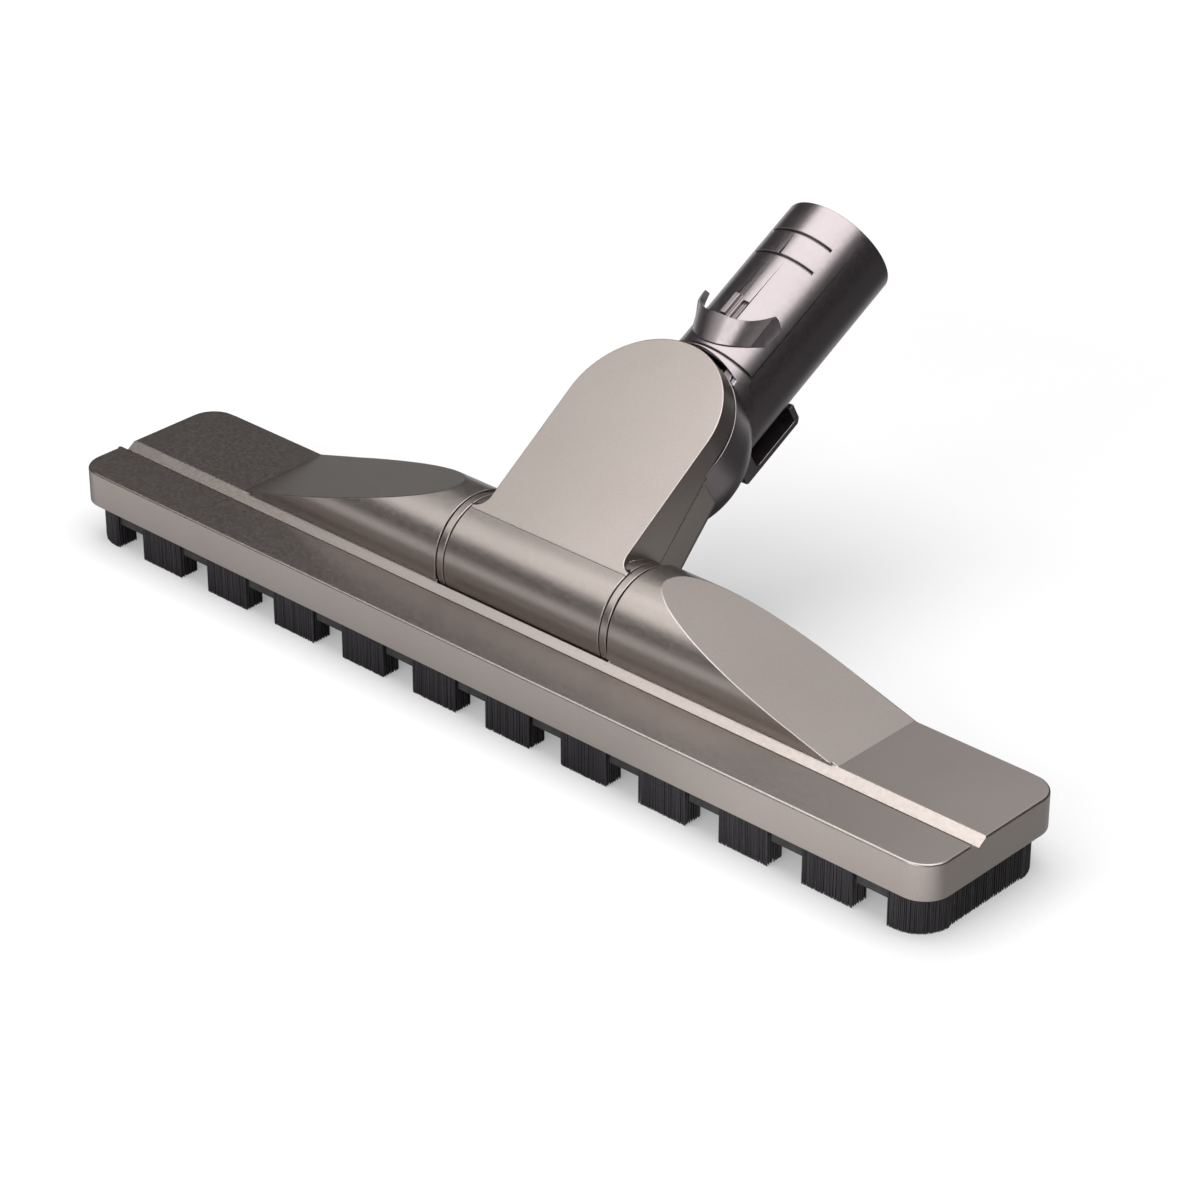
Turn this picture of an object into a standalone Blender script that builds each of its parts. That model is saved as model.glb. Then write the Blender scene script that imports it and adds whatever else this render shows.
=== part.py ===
"""Articulating hard-floor tool for a vacuum cleaner: bristle head, pitching neck and swivelling spigot.

Run with: blender --background --python part.py
Units are metres, +Z is up, the front of the head faces -Y and the bristles stand on Z = 0.
The origin is the bottom centre of the whole tool's box, with the neck in its rest position.
"""
import math

import bmesh
import bpy
from mathutils import Matrix, Vector

# Head
HEAD_LENGTH = 0.310
HEAD_DEPTH = 0.0524
HEAD_CORNER = 0.008
BRISTLE_HEIGHT = 0.012
BAND_HEIGHT = 0.0105
DECK_Z = BRISTLE_HEIGHT + BAND_HEIGHT
EDGE_ROUND = 0.0007
WALL = 0.0022
GAP = 0.0003

# Reach of cutting shapes: far past the whole tool, and just past one face
FAR = 0.1
OVER = 0.001

# Groove along the deck
GROOVE_FRONT_Y = -0.0100
GROOVE_BOTTOM_Y = -0.0074
GROOVE_BACK_Y = -0.0044
GROOVE_DEPTH = 0.0020

# Barrel that the neck pitches with
BARREL_Y = 0.0102
BARREL_Z = BRISTLE_HEIGHT + 0.0156
BARREL_RADIUS = 0.0154
BARREL_HALF = 0.0283
RING_INNER = BARREL_HALF + GAP
RING_OUTER = 0.0310
SLOT_HALF = 0.0314
SLOT_RADIUS = BARREL_RADIUS + 0.0005
TRUNNION_RADIUS = 0.0050
TRUNNION_END = 0.0385
BEARING_RADIUS = 0.0073
BUSH_CLEARANCE = 0.00008
BUSH_RADIUS = 0.0070
BUSH_FLANGE_RADIUS = 0.0090
BUSH_END = 0.0366
BUSH_RECESS = 0.0002
BUSH_FLANGE_GAP = 0.0004
SEAL_HALF = 0.0260
SEAL_FRONT = 0.0215
SEAL_BACK = 0.0174
SEAL_LOW = BRISTLE_HEIGHT + 0.0023
SEAL_HIGH = BRISTLE_HEIGHT + 0.0060
SEAL_CLEARANCE = 0.0004
INLET_FROM_DEG = -174.3
INLET_TO_DEG = -104.3

# Sole plate: its thickness, and the suction mouth about the barrel's axis
SOLE_INSET = WALL + 0.0005
SOLE_THICKNESS = 0.0020
MOUTH_HALF = 0.0260
MOUTH_FRONT = 0.0170
MOUTH_BACK = 0.0054

# Cheeks beside the barrel, which run out as sloping wings; the power fills out their rear shoulder
CROWN_POWER = 2.4
CHEEK_FOOT = BRISTLE_HEIGHT + 0.0040
WING_FOOT = 0.1085
WING_RUN_OUT = 0.0020
WING_SLOPE_DEG = 16.3

# Neck: its own frame has +Y along the wand and +Z out of its upper side
NECK_PITCH_DEG = 28.4
TONGUE_TILT_DEG = 6.2
TONGUE_START = Vector((0.0, 0.0031, 0.0151))
TONGUE_LENGTH = 0.0424
TONGUE_HALF = 0.0247
TONGUE_DRAFT_DEG = 6.0
FLARE_FOOT = 0.0010
FLARE_LENGTH = 0.0042
CAP_HEIGHT = 0.0065
LOWER_HALF = 0.0256
LOWER_BOTTOM = ((0.0109, -0.0109), (0.0336, -0.0031))
LOWER_CORNER = 0.0040
LOWER_END_S = -0.0080
LOWER_RUN = 0.0120
LOWER_FOOT_STEP = 0.0040
DUCT_FRONT = 0.0060
DUCT_WIDE_FROM = 0.0200
NECK_SCREW_X = 0.0206
NECK_SCREW_S = -0.0222
NECK_BOSS_RADIUS = 0.0032
NECK_SCREW_HEAD = 0.0026

# Swivel drum under the round end of the tongue
DRUM_RADIUS = 0.0256
DRUM_TOP = -0.0070
DRUM_STRAIGHT = -0.0160
DRUM_BOTTOM = -0.0355
DRUM_CLEARANCE = 0.0005
FLANGE_INNER = 0.0208
FLANGE_HEIGHT = 0.0022
RETAINER_INNER = 0.0186
RETAINER_OUTER = 0.0204
RETAINER_LIP = 0.0224
LIP_HEIGHT = 0.0020
RING_SEAL_INNER = 0.0210
RING_SEAL_OUTER = 0.0221
RING_SEAL_TOP = -0.0046
CAP_SPACE_RADIUS = 0.0270
CAP_SPACE_LOW = -0.0095
LIP_SPACE_RADIUS = 0.0229
LIP_SPACE_LOW = -0.0124

# Socket of the drum, as (along the wand, height) of the corner and the end of its sloping mouth
SOCKET_RADIUS = 0.0183
SOCKET_START = 0.0560
SOCKET_BORE_START = 0.0450
SOCKET_MOUTH = 0.0732
SOCKET_CORNER = (0.0713, 0.0098)
SOCKET_HEEL = (0.0550, -0.0200)

# Spigot that the wand pushes onto
TUBE_RADIUS = 0.0170
TUBE_BORE = 0.0152
TUBE_START = 0.0600
TUBE_END = 0.1283
SLIT_START = 0.0734
SLIT_WIDTH = 0.0010
SLIT_HALF_DEG = 56.0
CATCH_START = 0.1086
CATCH_END = 0.1173
CATCH_HALF_DEG = 38.0
SLIT_DEPTH = 0.0010
CATCH_SLIT_WIDTH = 0.0008
CATCH_SLIT_DEPTH = 0.0012
RIB_LOW = (-0.0026, 0.0850, 0.0160)
RIB_HIGH = (-0.0008, 0.0925, 0.0182)
NOTCH_LOW = (0.0004, 0.0850, 0.0158)
NOTCH_HIGH = (0.0026, 0.0915, 0.0200)

# Flared stop collar: foot and lip along the wand, and how they curve round the tube
COLLAR_HALF_DEG = 48.0
COLLAR_SHOULDER_DEG = 37.0
COLLAR_FOOT = 0.0753
COLLAR_FOOT_CURVE = 0.0248
COLLAR_FOOT_WIDTH = 0.0032
COLLAR_LIP = 0.0825
COLLAR_LIP_RISE = 0.0080
COLLAR_LIP_FALL = 0.0022
COLLAR_LIP_RADIUS = 0.0214
COLLAR_LIP_DROP = 0.0012
COLLAR_LIP_WIDTH = 0.0017

# Parking hook under the spigot
HOOK_HALF = 0.0110
HOOK_ROOT = 0.0600
HOOK_TIP = 0.0852
HOOK_BOTTOM = -0.0224
HOOK_THICKNESS = 0.0018
HOOK_TIP_THICKNESS = 0.0020
HOOK_TIP_TOP = -0.0155
HOOK_ROOT_END = 0.0655
HOOK_TOP = -0.0120
HOOK_TIP_SPACE = 0.0182

# Bristles
TUFT_DEPTH = 0.0065
TUFT_FRONT_Y = 0.0242
TUFT_END_X = 0.1528
TUFT_CORNER = 0.0100
TUFT_TOP = BRISTLE_HEIGHT - GAP
BLOCK_COUNT = 10
BLOCK_PITCH = 0.02715
BLOCK_WIDTH = 0.0165
CORNER_START_X = 0.1408
FRAME_HEIGHT = 0.0045
FRAME_INSET = 0.0007
FRAME_WALL = 0.0021
FRAME_FIELD_HALF = 0.1360

# Screws of the sole plate and of the neck
SCREW_SPOTS = ((-0.132, 0.0), (-0.072, 0.0), (0.072, 0.0), (0.132, 0.0), (-0.040, -0.0113), (0.040, -0.0113))
BOSS_RADIUS = 0.0034
SHANK_RADIUS = 0.0014
HOLE_RADIUS = 0.0017
SCREW_HEAD_RADIUS = 0.0031
SCREW_HEAD_HEIGHT = 0.0019
SCREW_HEAD_Z = BRISTLE_HEIGHT - 0.0022
SCREW_TOP = BRISTLE_HEIGHT + 0.0074
SCREW_TIP = 0.0008

# Facets round a turn, and the smallest distance that counts
ROUND = 48
FINE = 64
BUSH_ROUND = 32
SMALL = 12
TINY = 0.000001
MERGE = 0.00001

# Colours (linear RGB), roughness, metallic
TITANIUM = ((0.33, 0.30, 0.28), 0.34, 0.55)
PURPLE_GREY = ((0.27, 0.24, 0.245), 0.26, 0.60)
BLACK_PLASTIC = ((0.022, 0.021, 0.022), 0.50, 0.0)
BLACK_BRISTLE = ((0.016, 0.014, 0.017), 0.65, 0.0)
STEEL = ((0.55, 0.55, 0.56), 0.30, 1.0)
FELT = ((0.045, 0.044, 0.047), 0.95, 0.0)
ACETAL = ((0.70, 0.69, 0.66), 0.40, 0.0)


# ---------------------------------------------------------------- scene and small helpers

def clear_scene():
    for obj in list(bpy.data.objects):
        bpy.data.objects.remove(obj, do_unlink=True)


def new_collection(name):
    collection = bpy.data.collections.new(name)
    bpy.context.scene.collection.children.link(collection)
    return collection


clear_scene()
PARTS = new_collection("hard_floor_tool")
BENCH = new_collection("bench")


def object_from_bmesh(name, bm):
    bmesh.ops.recalc_face_normals(bm, faces=bm.faces)
    mesh = bpy.data.meshes.new(name)
    bm.to_mesh(mesh)
    bm.free()
    obj = bpy.data.objects.new(name, mesh)
    BENCH.objects.link(obj)
    return obj


def applied(obj):
    """Replace an object's mesh with what its modifiers make of it."""
    bpy.context.view_layer.update()
    graph = bpy.context.evaluated_depsgraph_get()
    mesh = bpy.data.meshes.new_from_object(obj.evaluated_get(graph))
    obj.modifiers.clear()
    obj.data = mesh
    return obj


def boolean(body, tool, operation):
    modifier = body.modifiers.new(operation.title(), "BOOLEAN")
    modifier.operation = operation
    modifier.solver = "EXACT"
    modifier.object = tool
    applied(body)
    bpy.data.objects.remove(tool, do_unlink=True)
    return body


def cut(body, *tools):
    for tool in tools:
        boolean(body, tool, "DIFFERENCE")
    return body


def join(body, *tools):
    for tool in tools:
        boolean(body, tool, "UNION")
    return body


def keep(body, tool):
    return boolean(body, tool, "INTERSECT")


def moved(obj, matrix):
    obj.data.transform(matrix)
    return obj


def mirrored(obj):
    """The object's mesh, turned over the plane X = 0."""
    bm = bmesh.new()
    bm.from_mesh(obj.data)
    bmesh.ops.scale(bm, vec=(-1, 1, 1), verts=bm.verts)
    name = obj.name
    bpy.data.objects.remove(obj, do_unlink=True)
    return object_from_bmesh(name, bm)


# ---------------------------------------------------------------- basic shapes

def box(name, low, high):
    bm = bmesh.new()
    bmesh.ops.create_cube(bm, size=1.0)
    size = Vector(high) - Vector(low)
    bmesh.ops.scale(bm, vec=size, verts=bm.verts)
    bmesh.ops.translate(bm, vec=(Vector(low) + Vector(high)) / 2, verts=bm.verts)
    return object_from_bmesh(name, bm)


def rounded_slab(name, half_x, half_y, corner, low_z, high_z, top_round=0.0):
    """A box with round corners in plan, and a soft upper edge if top_round is given."""
    bm = bmesh.new()
    bmesh.ops.create_cube(bm, size=1.0)
    bmesh.ops.scale(bm, vec=(2 * half_x, 2 * half_y, high_z - low_z), verts=bm.verts)
    bmesh.ops.translate(bm, vec=(0, 0, (low_z + high_z) / 2), verts=bm.verts)
    upright = [e for e in bm.edges if abs(e.verts[0].co.z - e.verts[1].co.z) > TINY]
    bmesh.ops.bevel(bm, geom=upright, offset=corner, segments=6, affect="EDGES", profile=0.5)
    if top_round > 0:
        rim = [e for e in bm.edges if all(v.co.z > high_z - TINY for v in e.verts)]
        bmesh.ops.bevel(bm, geom=rim, offset=top_round, segments=2, affect="EDGES", profile=0.5)
    return object_from_bmesh(name, bm)


def cylinder(name, radius, low, high, axis="Z", centre=(0, 0, 0), segments=ROUND):
    bm = bmesh.new()
    bmesh.ops.create_cone(bm, cap_ends=True, segments=segments, radius1=radius, radius2=radius,
                          depth=high - low)
    bmesh.ops.translate(bm, vec=(0, 0, (low + high) / 2), verts=bm.verts)
    turn = {"Z": Matrix(), "X": Matrix.Rotation(math.pi / 2, 4, "Y"),
            "Y": Matrix.Rotation(-math.pi / 2, 4, "X")}[axis]
    bmesh.ops.transform(bm, matrix=Matrix.Translation(centre) @ turn, verts=bm.verts)
    return object_from_bmesh(name, bm)


def extrusion(name, outline, low, high, plane="YZ"):
    """A flat outline as a filled 2D curve, thickened along the axis across its plane."""
    curve = bpy.data.curves.new(name, "CURVE")
    curve.dimensions = "2D"
    curve.fill_mode = "BOTH"
    curve.extrude = (high - low) / 2
    spline = curve.splines.new("POLY")
    spline.points.add(len(outline) - 1)
    for point, (a, b) in zip(spline.points, outline):
        point.co = (a, b, 0.0, 1.0)
    spline.use_cyclic_u = True
    guide = bpy.data.objects.new(name + "_outline", curve)
    BENCH.objects.link(guide)
    bpy.context.view_layer.update()
    graph = bpy.context.evaluated_depsgraph_get()
    mesh = bpy.data.meshes.new_from_object(guide.evaluated_get(graph))
    bpy.data.objects.remove(guide, do_unlink=True)
    bm = bmesh.new()
    bm.from_mesh(mesh)
    bmesh.ops.remove_doubles(bm, verts=bm.verts, dist=TINY)
    bmesh.ops.translate(bm, vec=(0, 0, (low + high) / 2), verts=bm.verts)
    upright = Matrix(((0, 0, 1, 0), (1, 0, 0, 0), (0, 1, 0, 0), (0, 0, 0, 1)))
    if plane == "XZ":
        upright = Matrix(((1, 0, 0, 0), (0, 0, 1, 0), (0, 1, 0, 0), (0, 0, 0, 1)))
    bmesh.ops.transform(bm, matrix=upright, verts=bm.verts)
    return object_from_bmesh(name, bm)


def turned(name, profile, axis="Z", steps=ROUND):
    """A closed (radius, height) profile turned about an axis with a Screw modifier."""
    bm = bmesh.new()
    verts = [bm.verts.new((radius, 0, height)) for radius, height in profile]
    for first, second in zip(verts, verts[1:] + verts[:1]):
        if first.co.x > 0 or second.co.x > 0:
            bm.edges.new((first, second))
    mesh = bpy.data.meshes.new(name)
    bm.to_mesh(mesh)
    bm.free()
    obj = bpy.data.objects.new(name, mesh)
    BENCH.objects.link(obj)
    screw = obj.modifiers.new("Screw", "SCREW")
    screw.steps = steps
    screw.render_steps = steps
    screw.use_merge_vertices = True
    screw.merge_threshold = MERGE
    applied(obj)
    bm = bmesh.new()
    bm.from_mesh(obj.data)
    bmesh.ops.remove_doubles(bm, verts=bm.verts, dist=MERGE)
    if axis == "X":
        bmesh.ops.transform(bm, matrix=Matrix.Rotation(math.pi / 2, 4, "Y"), verts=bm.verts)
    if axis == "Y":
        bmesh.ops.transform(bm, matrix=Matrix.Rotation(-math.pi / 2, 4, "X"), verts=bm.verts)
    bpy.data.objects.remove(obj, do_unlink=True)
    return object_from_bmesh(name, bm)


def loft(name, sections):
    """A solid through closed sections that all have the same number of points."""
    bm = bmesh.new()
    rings = [[bm.verts.new(point) for point in section] for section in sections]
    count = len(rings[0])
    for ring, following in zip(rings, rings[1:]):
        for i in range(count):
            j = (i + 1) % count
            bm.faces.new((ring[i], ring[j], following[j], following[i]))
    bm.faces.new(rings[0])
    bm.faces.new(rings[-1])
    return object_from_bmesh(name, bm)


def arc(centre_a, centre_b, radius, start_deg, end_deg, steps):
    points = []
    for i in range(steps + 1):
        angle = math.radians(start_deg + (end_deg - start_deg) * i / steps)
        points.append((centre_a + radius * math.cos(angle), centre_b + radius * math.sin(angle)))
    return points


# ---------------------------------------------------------------- frames and finishing

SIN_PITCH = math.sin(math.radians(NECK_PITCH_DEG))
COS_PITCH = math.cos(math.radians(NECK_PITCH_DEG))
REAR_Y = BARREL_Y + TUBE_END * COS_PITCH + TUBE_RADIUS * SIN_PITCH
ORIGIN_SHIFT = -(REAR_Y - HEAD_DEPTH / 2) / 2

TILT = Matrix.Rotation(math.radians(TONGUE_TILT_DEG), 4, "X")
SWIVEL_POINT = TONGUE_START + TILT @ Vector((0, TONGUE_LENGTH, 0))
SWIVEL_IN_NECK = Matrix.Translation(SWIVEL_POINT) @ TILT


def empty(name, parent, location, angle_deg=0.0):
    obj = bpy.data.objects.new(name, None)
    obj.empty_display_size = 0.02
    obj.parent = parent
    obj.location = location
    obj.rotation_euler = (math.radians(angle_deg), 0, 0)
    PARTS.objects.link(obj)
    return obj


HEAD_FRAME = empty("head_frame", None, (0, ORIGIN_SHIFT, 0))
NECK_FRAME = empty("neck_pitch_axis", HEAD_FRAME, (0, BARREL_Y, BARREL_Z), NECK_PITCH_DEG)
SWIVEL_FRAME = empty("swivel_axis", NECK_FRAME, SWIVEL_POINT, TONGUE_TILT_DEG)


def material(name, finish):
    colour, roughness, metallic = finish
    made = bpy.data.materials.new(name)
    made.use_nodes = True
    shader = made.node_tree.nodes["Principled BSDF"]
    shader.inputs["Base Color"].default_value = (*colour, 1.0)
    shader.inputs["Roughness"].default_value = roughness
    shader.inputs["Metallic"].default_value = metallic
    return made


def finish(obj, name, parent, look):
    """Weld a part's mesh, name it, give it its own material and hang it from the frame it is drawn in."""
    bm = bmesh.new()
    bm.from_mesh(obj.data)
    bmesh.ops.remove_doubles(bm, verts=bm.verts, dist=TINY)
    bmesh.ops.dissolve_degenerate(bm, edges=bm.edges, dist=TINY)
    bm.to_mesh(obj.data)
    bm.free()
    obj.name = name
    obj.data.name = name
    obj.data.materials.clear()
    obj.data.materials.append(material(name, look))
    obj.data.shade_smooth()
    obj.data.set_sharp_from_angle(angle=math.radians(35))
    BENCH.objects.unlink(obj)
    PARTS.objects.link(obj)
    obj.parent = parent
    return obj


def on_swivel(obj):
    """Re-express a mesh drawn in the neck's frame in the swivel's frame."""
    return moved(obj, SWIVEL_IN_NECK.inverted())


# ---------------------------------------------------------------- head

def cheek_profile(inset, foot, steps):
    """Section of a cheek: upright walls, round front shoulder and a fuller rear one."""
    radius = BARREL_RADIUS - inset
    reach = HEAD_DEPTH / 2 - inset - BARREL_Y
    rear = []
    for i in range(steps):
        angle = math.radians(90 * i / steps)
        rear.append((BARREL_Y + reach * math.cos(angle) ** (2 / CROWN_POWER),
                     BARREL_Z + radius * math.sin(angle) ** (2 / CROWN_POWER)))
    front = arc(BARREL_Y, BARREL_Z, radius, 90, 180, steps)
    return [(BARREL_Y + reach, foot)] + rear + front + [(BARREL_Y - radius, foot)]


def wing_cutter(name, side, drop):
    """Everything above one wing's sloping face, lowered by drop."""
    low = DECK_Z - drop
    rise = (WING_FOOT - SLOT_HALF) * math.tan(math.radians(WING_SLOPE_DEG))
    outline = [(side * WING_FOOT, low), (side * HEAD_LENGTH, low), (side * HEAD_LENGTH, FAR),
               (side * SLOT_HALF, FAR), (side * SLOT_HALF, low + rise)]
    return extrusion(name, outline, -FAR, FAR, plane="XZ")


def barrel_space(name, radius, half):
    return cylinder(name, radius, -half, half, "X", (0, BARREL_Y, BARREL_Z))


def upper_housing():
    body = rounded_slab("housing", HEAD_LENGTH / 2, HEAD_DEPTH / 2, HEAD_CORNER,
                        BRISTLE_HEIGHT, DECK_Z, EDGE_ROUND)
    wings = WING_FOOT + WING_RUN_OUT
    cheeks = extrusion("cheeks", cheek_profile(0, CHEEK_FOOT, 12), -wings, wings)
    cut(cheeks, wing_cutter("wing_left", -1, 0), wing_cutter("wing_right", 1, 0))
    join(body, cheeks)
    groove = [(GROOVE_FRONT_Y, DECK_Z + OVER), (GROOVE_FRONT_Y, DECK_Z - GAP / 3),
              (GROOVE_BOTTOM_Y, DECK_Z - GROOVE_DEPTH), (GROOVE_BACK_Y, DECK_Z),
              (GROOVE_BACK_Y, DECK_Z + OVER)]
    cut(body, extrusion("groove", groove, -HEAD_LENGTH, HEAD_LENGTH))
    cut(body, rounded_slab("pocket", HEAD_LENGTH / 2 - WALL, HEAD_DEPTH / 2 - WALL,
                           HEAD_CORNER - WALL, BRISTLE_HEIGHT - OVER, DECK_Z - WALL - OVER))
    for side in (-1, 1):
        ends = sorted((side * (SLOT_HALF + WALL), side * WING_FOOT))
        hollow = extrusion("hollow", cheek_profile(WALL, BRISTLE_HEIGHT - OVER, 6), *ends)
        cut(hollow, wing_cutter("roof", side, WALL))
        cut(body, hollow)
    cut(body, box("open_top", (-SLOT_HALF, GROOVE_BACK_Y - OVER, DECK_Z + GAP / 3), (SLOT_HALF, FAR, FAR)))
    cut(body, barrel_space("slot", SLOT_RADIUS, SLOT_HALF))
    cut(body, barrel_space("bearing_hole", BEARING_RADIUS, BUSH_END + WALL))
    for x, y in SCREW_SPOTS:
        spot = (x, y, 0)
        join(body, cylinder("boss", BOSS_RADIUS, BRISTLE_HEIGHT + SOLE_THICKNESS + GAP, DECK_Z - WALL / 2,
                            "Z", spot, SMALL))
        cut(body, cylinder("hole", HOLE_RADIUS, 0, SCREW_TOP + GAP, "Z", spot, SMALL))
    return finish(body, "upper_housing", HEAD_FRAME, TITANIUM)


def sole_plate():
    plate = rounded_slab("plate", HEAD_LENGTH / 2 - SOLE_INSET, HEAD_DEPTH / 2 - SOLE_INSET,
                         HEAD_CORNER - SOLE_INSET, BRISTLE_HEIGHT, BRISTLE_HEIGHT + SOLE_THICKNESS)
    mouth = box("mouth", (-MOUTH_HALF, BARREL_Y - MOUTH_FRONT, 0), (MOUTH_HALF, BARREL_Y + MOUTH_BACK, FAR))
    cut(plate, mouth, barrel_space("slot", SLOT_RADIUS, SLOT_HALF))
    for x, y in SCREW_SPOTS:
        cut(plate, cylinder("hole", HOLE_RADIUS, 0, FAR, "Z", (x, y, 0), SMALL))
    return finish(plate, "sole_plate", HEAD_FRAME, BLACK_PLASTIC)


def sole_screw(number, x, y):
    """Pan-head screw, head down, with a plain dome and a tapered tip."""
    seat = SCREW_HEAD_Z + SCREW_HEAD_HEIGHT
    profile = [(0, SCREW_HEAD_Z), (SCREW_HEAD_RADIUS * 0.72, SCREW_HEAD_Z),
               (SCREW_HEAD_RADIUS, SCREW_HEAD_Z + SCREW_HEAD_HEIGHT / 2), (SCREW_HEAD_RADIUS, seat),
               (SHANK_RADIUS, seat), (SHANK_RADIUS, SCREW_TOP - SCREW_TIP), (0, SCREW_TOP)]
    body = moved(turned("screw", profile, steps=SMALL), Matrix.Translation((x, y, 0)))
    return finish(body, "sole_screw_%d" % number, HEAD_FRAME, STEEL)


def tuft_block(index):
    centre = (index - (BLOCK_COUNT - 1) / 2) * BLOCK_PITCH
    body = box("tufts", (centre - BLOCK_WIDTH / 2, -TUFT_FRONT_Y, 0),
               (centre + BLOCK_WIDTH / 2, -TUFT_FRONT_Y + TUFT_DEPTH, TUFT_TOP))
    return finish(body, "bristle_block_%02d" % (index + 1), HEAD_FRAME, BLACK_BRISTLE)


def tuft_end(name, side):
    """Bristles round one end: front corner, end and rear corner in one run."""
    body = rounded_slab("tufts", TUFT_END_X, TUFT_FRONT_Y, TUFT_CORNER, 0, TUFT_TOP)
    core = rounded_slab("core", TUFT_END_X - TUFT_DEPTH, TUFT_FRONT_Y - TUFT_DEPTH,
                        TUFT_CORNER - TUFT_DEPTH, -OVER, FAR)
    low_x, high_x = sorted((side * CORNER_START_X, -side * HEAD_LENGTH))
    cut(body, core, box("middle", (low_x, -FAR, -OVER), (high_x, FAR, FAR)))
    return finish(body, name, HEAD_FRAME, BLACK_BRISTLE)


def tuft_rear():
    reach = CORNER_START_X - GAP
    body = box("tufts", (-reach, TUFT_FRONT_Y - TUFT_DEPTH, 0), (reach, TUFT_FRONT_Y, TUFT_TOP))
    return finish(body, "bristle_rear", HEAD_FRAME, BLACK_BRISTLE)


def brush_frame():
    """Comb-shaped carrier that holds every run of bristles."""
    inside = TUFT_FRONT_Y - TUFT_DEPTH
    field = inside - FRAME_WALL
    body = rounded_slab("frame", CORNER_START_X - GAP, TUFT_FRONT_Y - FRAME_INSET, GAP,
                        BRISTLE_HEIGHT - FRAME_HEIGHT, TUFT_TOP)
    cut(body, box("field", (-FRAME_FIELD_HALF, -field, 0), (FRAME_FIELD_HALF, field, FAR)))
    cut(body, box("rear", (-HEAD_LENGTH, inside - GAP, 0), (HEAD_LENGTH, FAR, FAR)))
    half = BLOCK_WIDTH / 2 + GAP
    for index in range(BLOCK_COUNT):
        centre = (index - (BLOCK_COUNT - 1) / 2) * BLOCK_PITCH
        cut(body, box("pocket", (centre - half, -FAR, 0), (centre + half, -inside + GAP, FAR)))
    return finish(body, "brush_frame", HEAD_FRAME, BLACK_PLASTIC)


def pivot_bush(name, side):
    bore = TRUNNION_RADIUS + BUSH_CLEARANCE
    low = SLOT_HALF + BUSH_RECESS
    flange = SLOT_HALF + WALL + BUSH_FLANGE_GAP
    profile = [(bore, BUSH_END), (BUSH_FLANGE_RADIUS, BUSH_END), (BUSH_FLANGE_RADIUS, flange),
               (BUSH_RADIUS, flange), (BUSH_RADIUS, low), (bore, low)]
    body = turned("bush", profile, "X", BUSH_ROUND)
    if side < 0:
        body = mirrored(body)
    moved(body, Matrix.Translation((0, BARREL_Y, BARREL_Z)))
    return finish(body, name, HEAD_FRAME, ACETAL)


def barrel_seal():
    """Felt strip on the sole plate that wipes the barrel."""
    body = box("strip", (-SEAL_HALF, BARREL_Y - SEAL_FRONT, SEAL_LOW),
               (SEAL_HALF, BARREL_Y - SEAL_BACK, SEAL_HIGH))
    cut(body, barrel_space("slot", BARREL_RADIUS + SEAL_CLEARANCE, SLOT_HALF))
    return finish(body, "barrel_seal_front", HEAD_FRAME, FELT)


# ---------------------------------------------------------------- neck

def tongue_outline(half):
    """Plan of the tongue about the swivel axis: flared foot, straight sides, round end."""
    foot = -TONGUE_LENGTH + FLARE_FOOT
    right = [(BARREL_HALF, -TONGUE_LENGTH - 0.006), (BARREL_HALF, foot)]
    reach = BARREL_HALF - half
    for i in range(1, 6):
        angle = math.radians(90 * i / 5)
        right.append((half + reach * (1 - math.sin(angle)),
                      foot + FLARE_LENGTH * (1 - math.cos(angle))))
    round_end = arc(0, 0, half, 0, 180, 32)
    left = [(-x, y) for x, y in reversed(right)]
    return right + round_end + left


def tongue_prism(name, half, top, bottom):
    """The tongue's outline drawn down from its face, widening by the draft angle."""
    sections = []
    for height in (top, bottom):
        wider = half - height * math.tan(math.radians(TONGUE_DRAFT_DEG))
        sections.append([(x, y, height) for x, y in tongue_outline(wider)])
    return moved(loft(name, sections), SWIVEL_IN_NECK)


def seam_points(drop):
    """Parting line of the two neck shells: through the barrel's axis, then level under the cap."""
    knee = SWIVEL_IN_NECK @ Vector((0, 0, -CAP_HEIGHT))
    end = SWIVEL_IN_NECK @ Vector((0, FAR, -CAP_HEIGHT))
    slope = knee.z / knee.y
    return [(-FAR, -FAR * slope - drop), (knee.y, knee.z - drop), (end.y, end.z - drop)]


def beyond_seam(name, height, drop=0.0):
    """Everything between the parting line and a level far above or far below it."""
    line = seam_points(drop)
    return extrusion(name, line + [(line[-1][0], height), (line[0][0], height)], -FAR, FAR)


def inlet_wedge(name):
    """Sector of the barrel that stays open to the suction mouth."""
    rim = arc(0, 0, 2 * BARREL_RADIUS, INLET_FROM_DEG, INLET_TO_DEG, 6)
    return extrusion(name, [(0, 0)] + rim, -BARREL_HALF + WALL, BARREL_HALF - WALL)


def swivel_cylinder(name, radius, low, high, segments=ROUND):
    return moved(cylinder(name, radius, low, high, segments=segments), SWIVEL_IN_NECK)


def neck_bore():
    return cylinder("bore", BARREL_RADIUS - WALL, -BARREL_HALF + WALL, BARREL_HALF - WALL, "X")


def neck_screw_axis(name, radius, low, high, side):
    spot = (side * NECK_SCREW_X, NECK_SCREW_S, 0)
    return moved(cylinder(name, radius, low, high, "Z", spot, SMALL), SWIVEL_IN_NECK)


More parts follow.
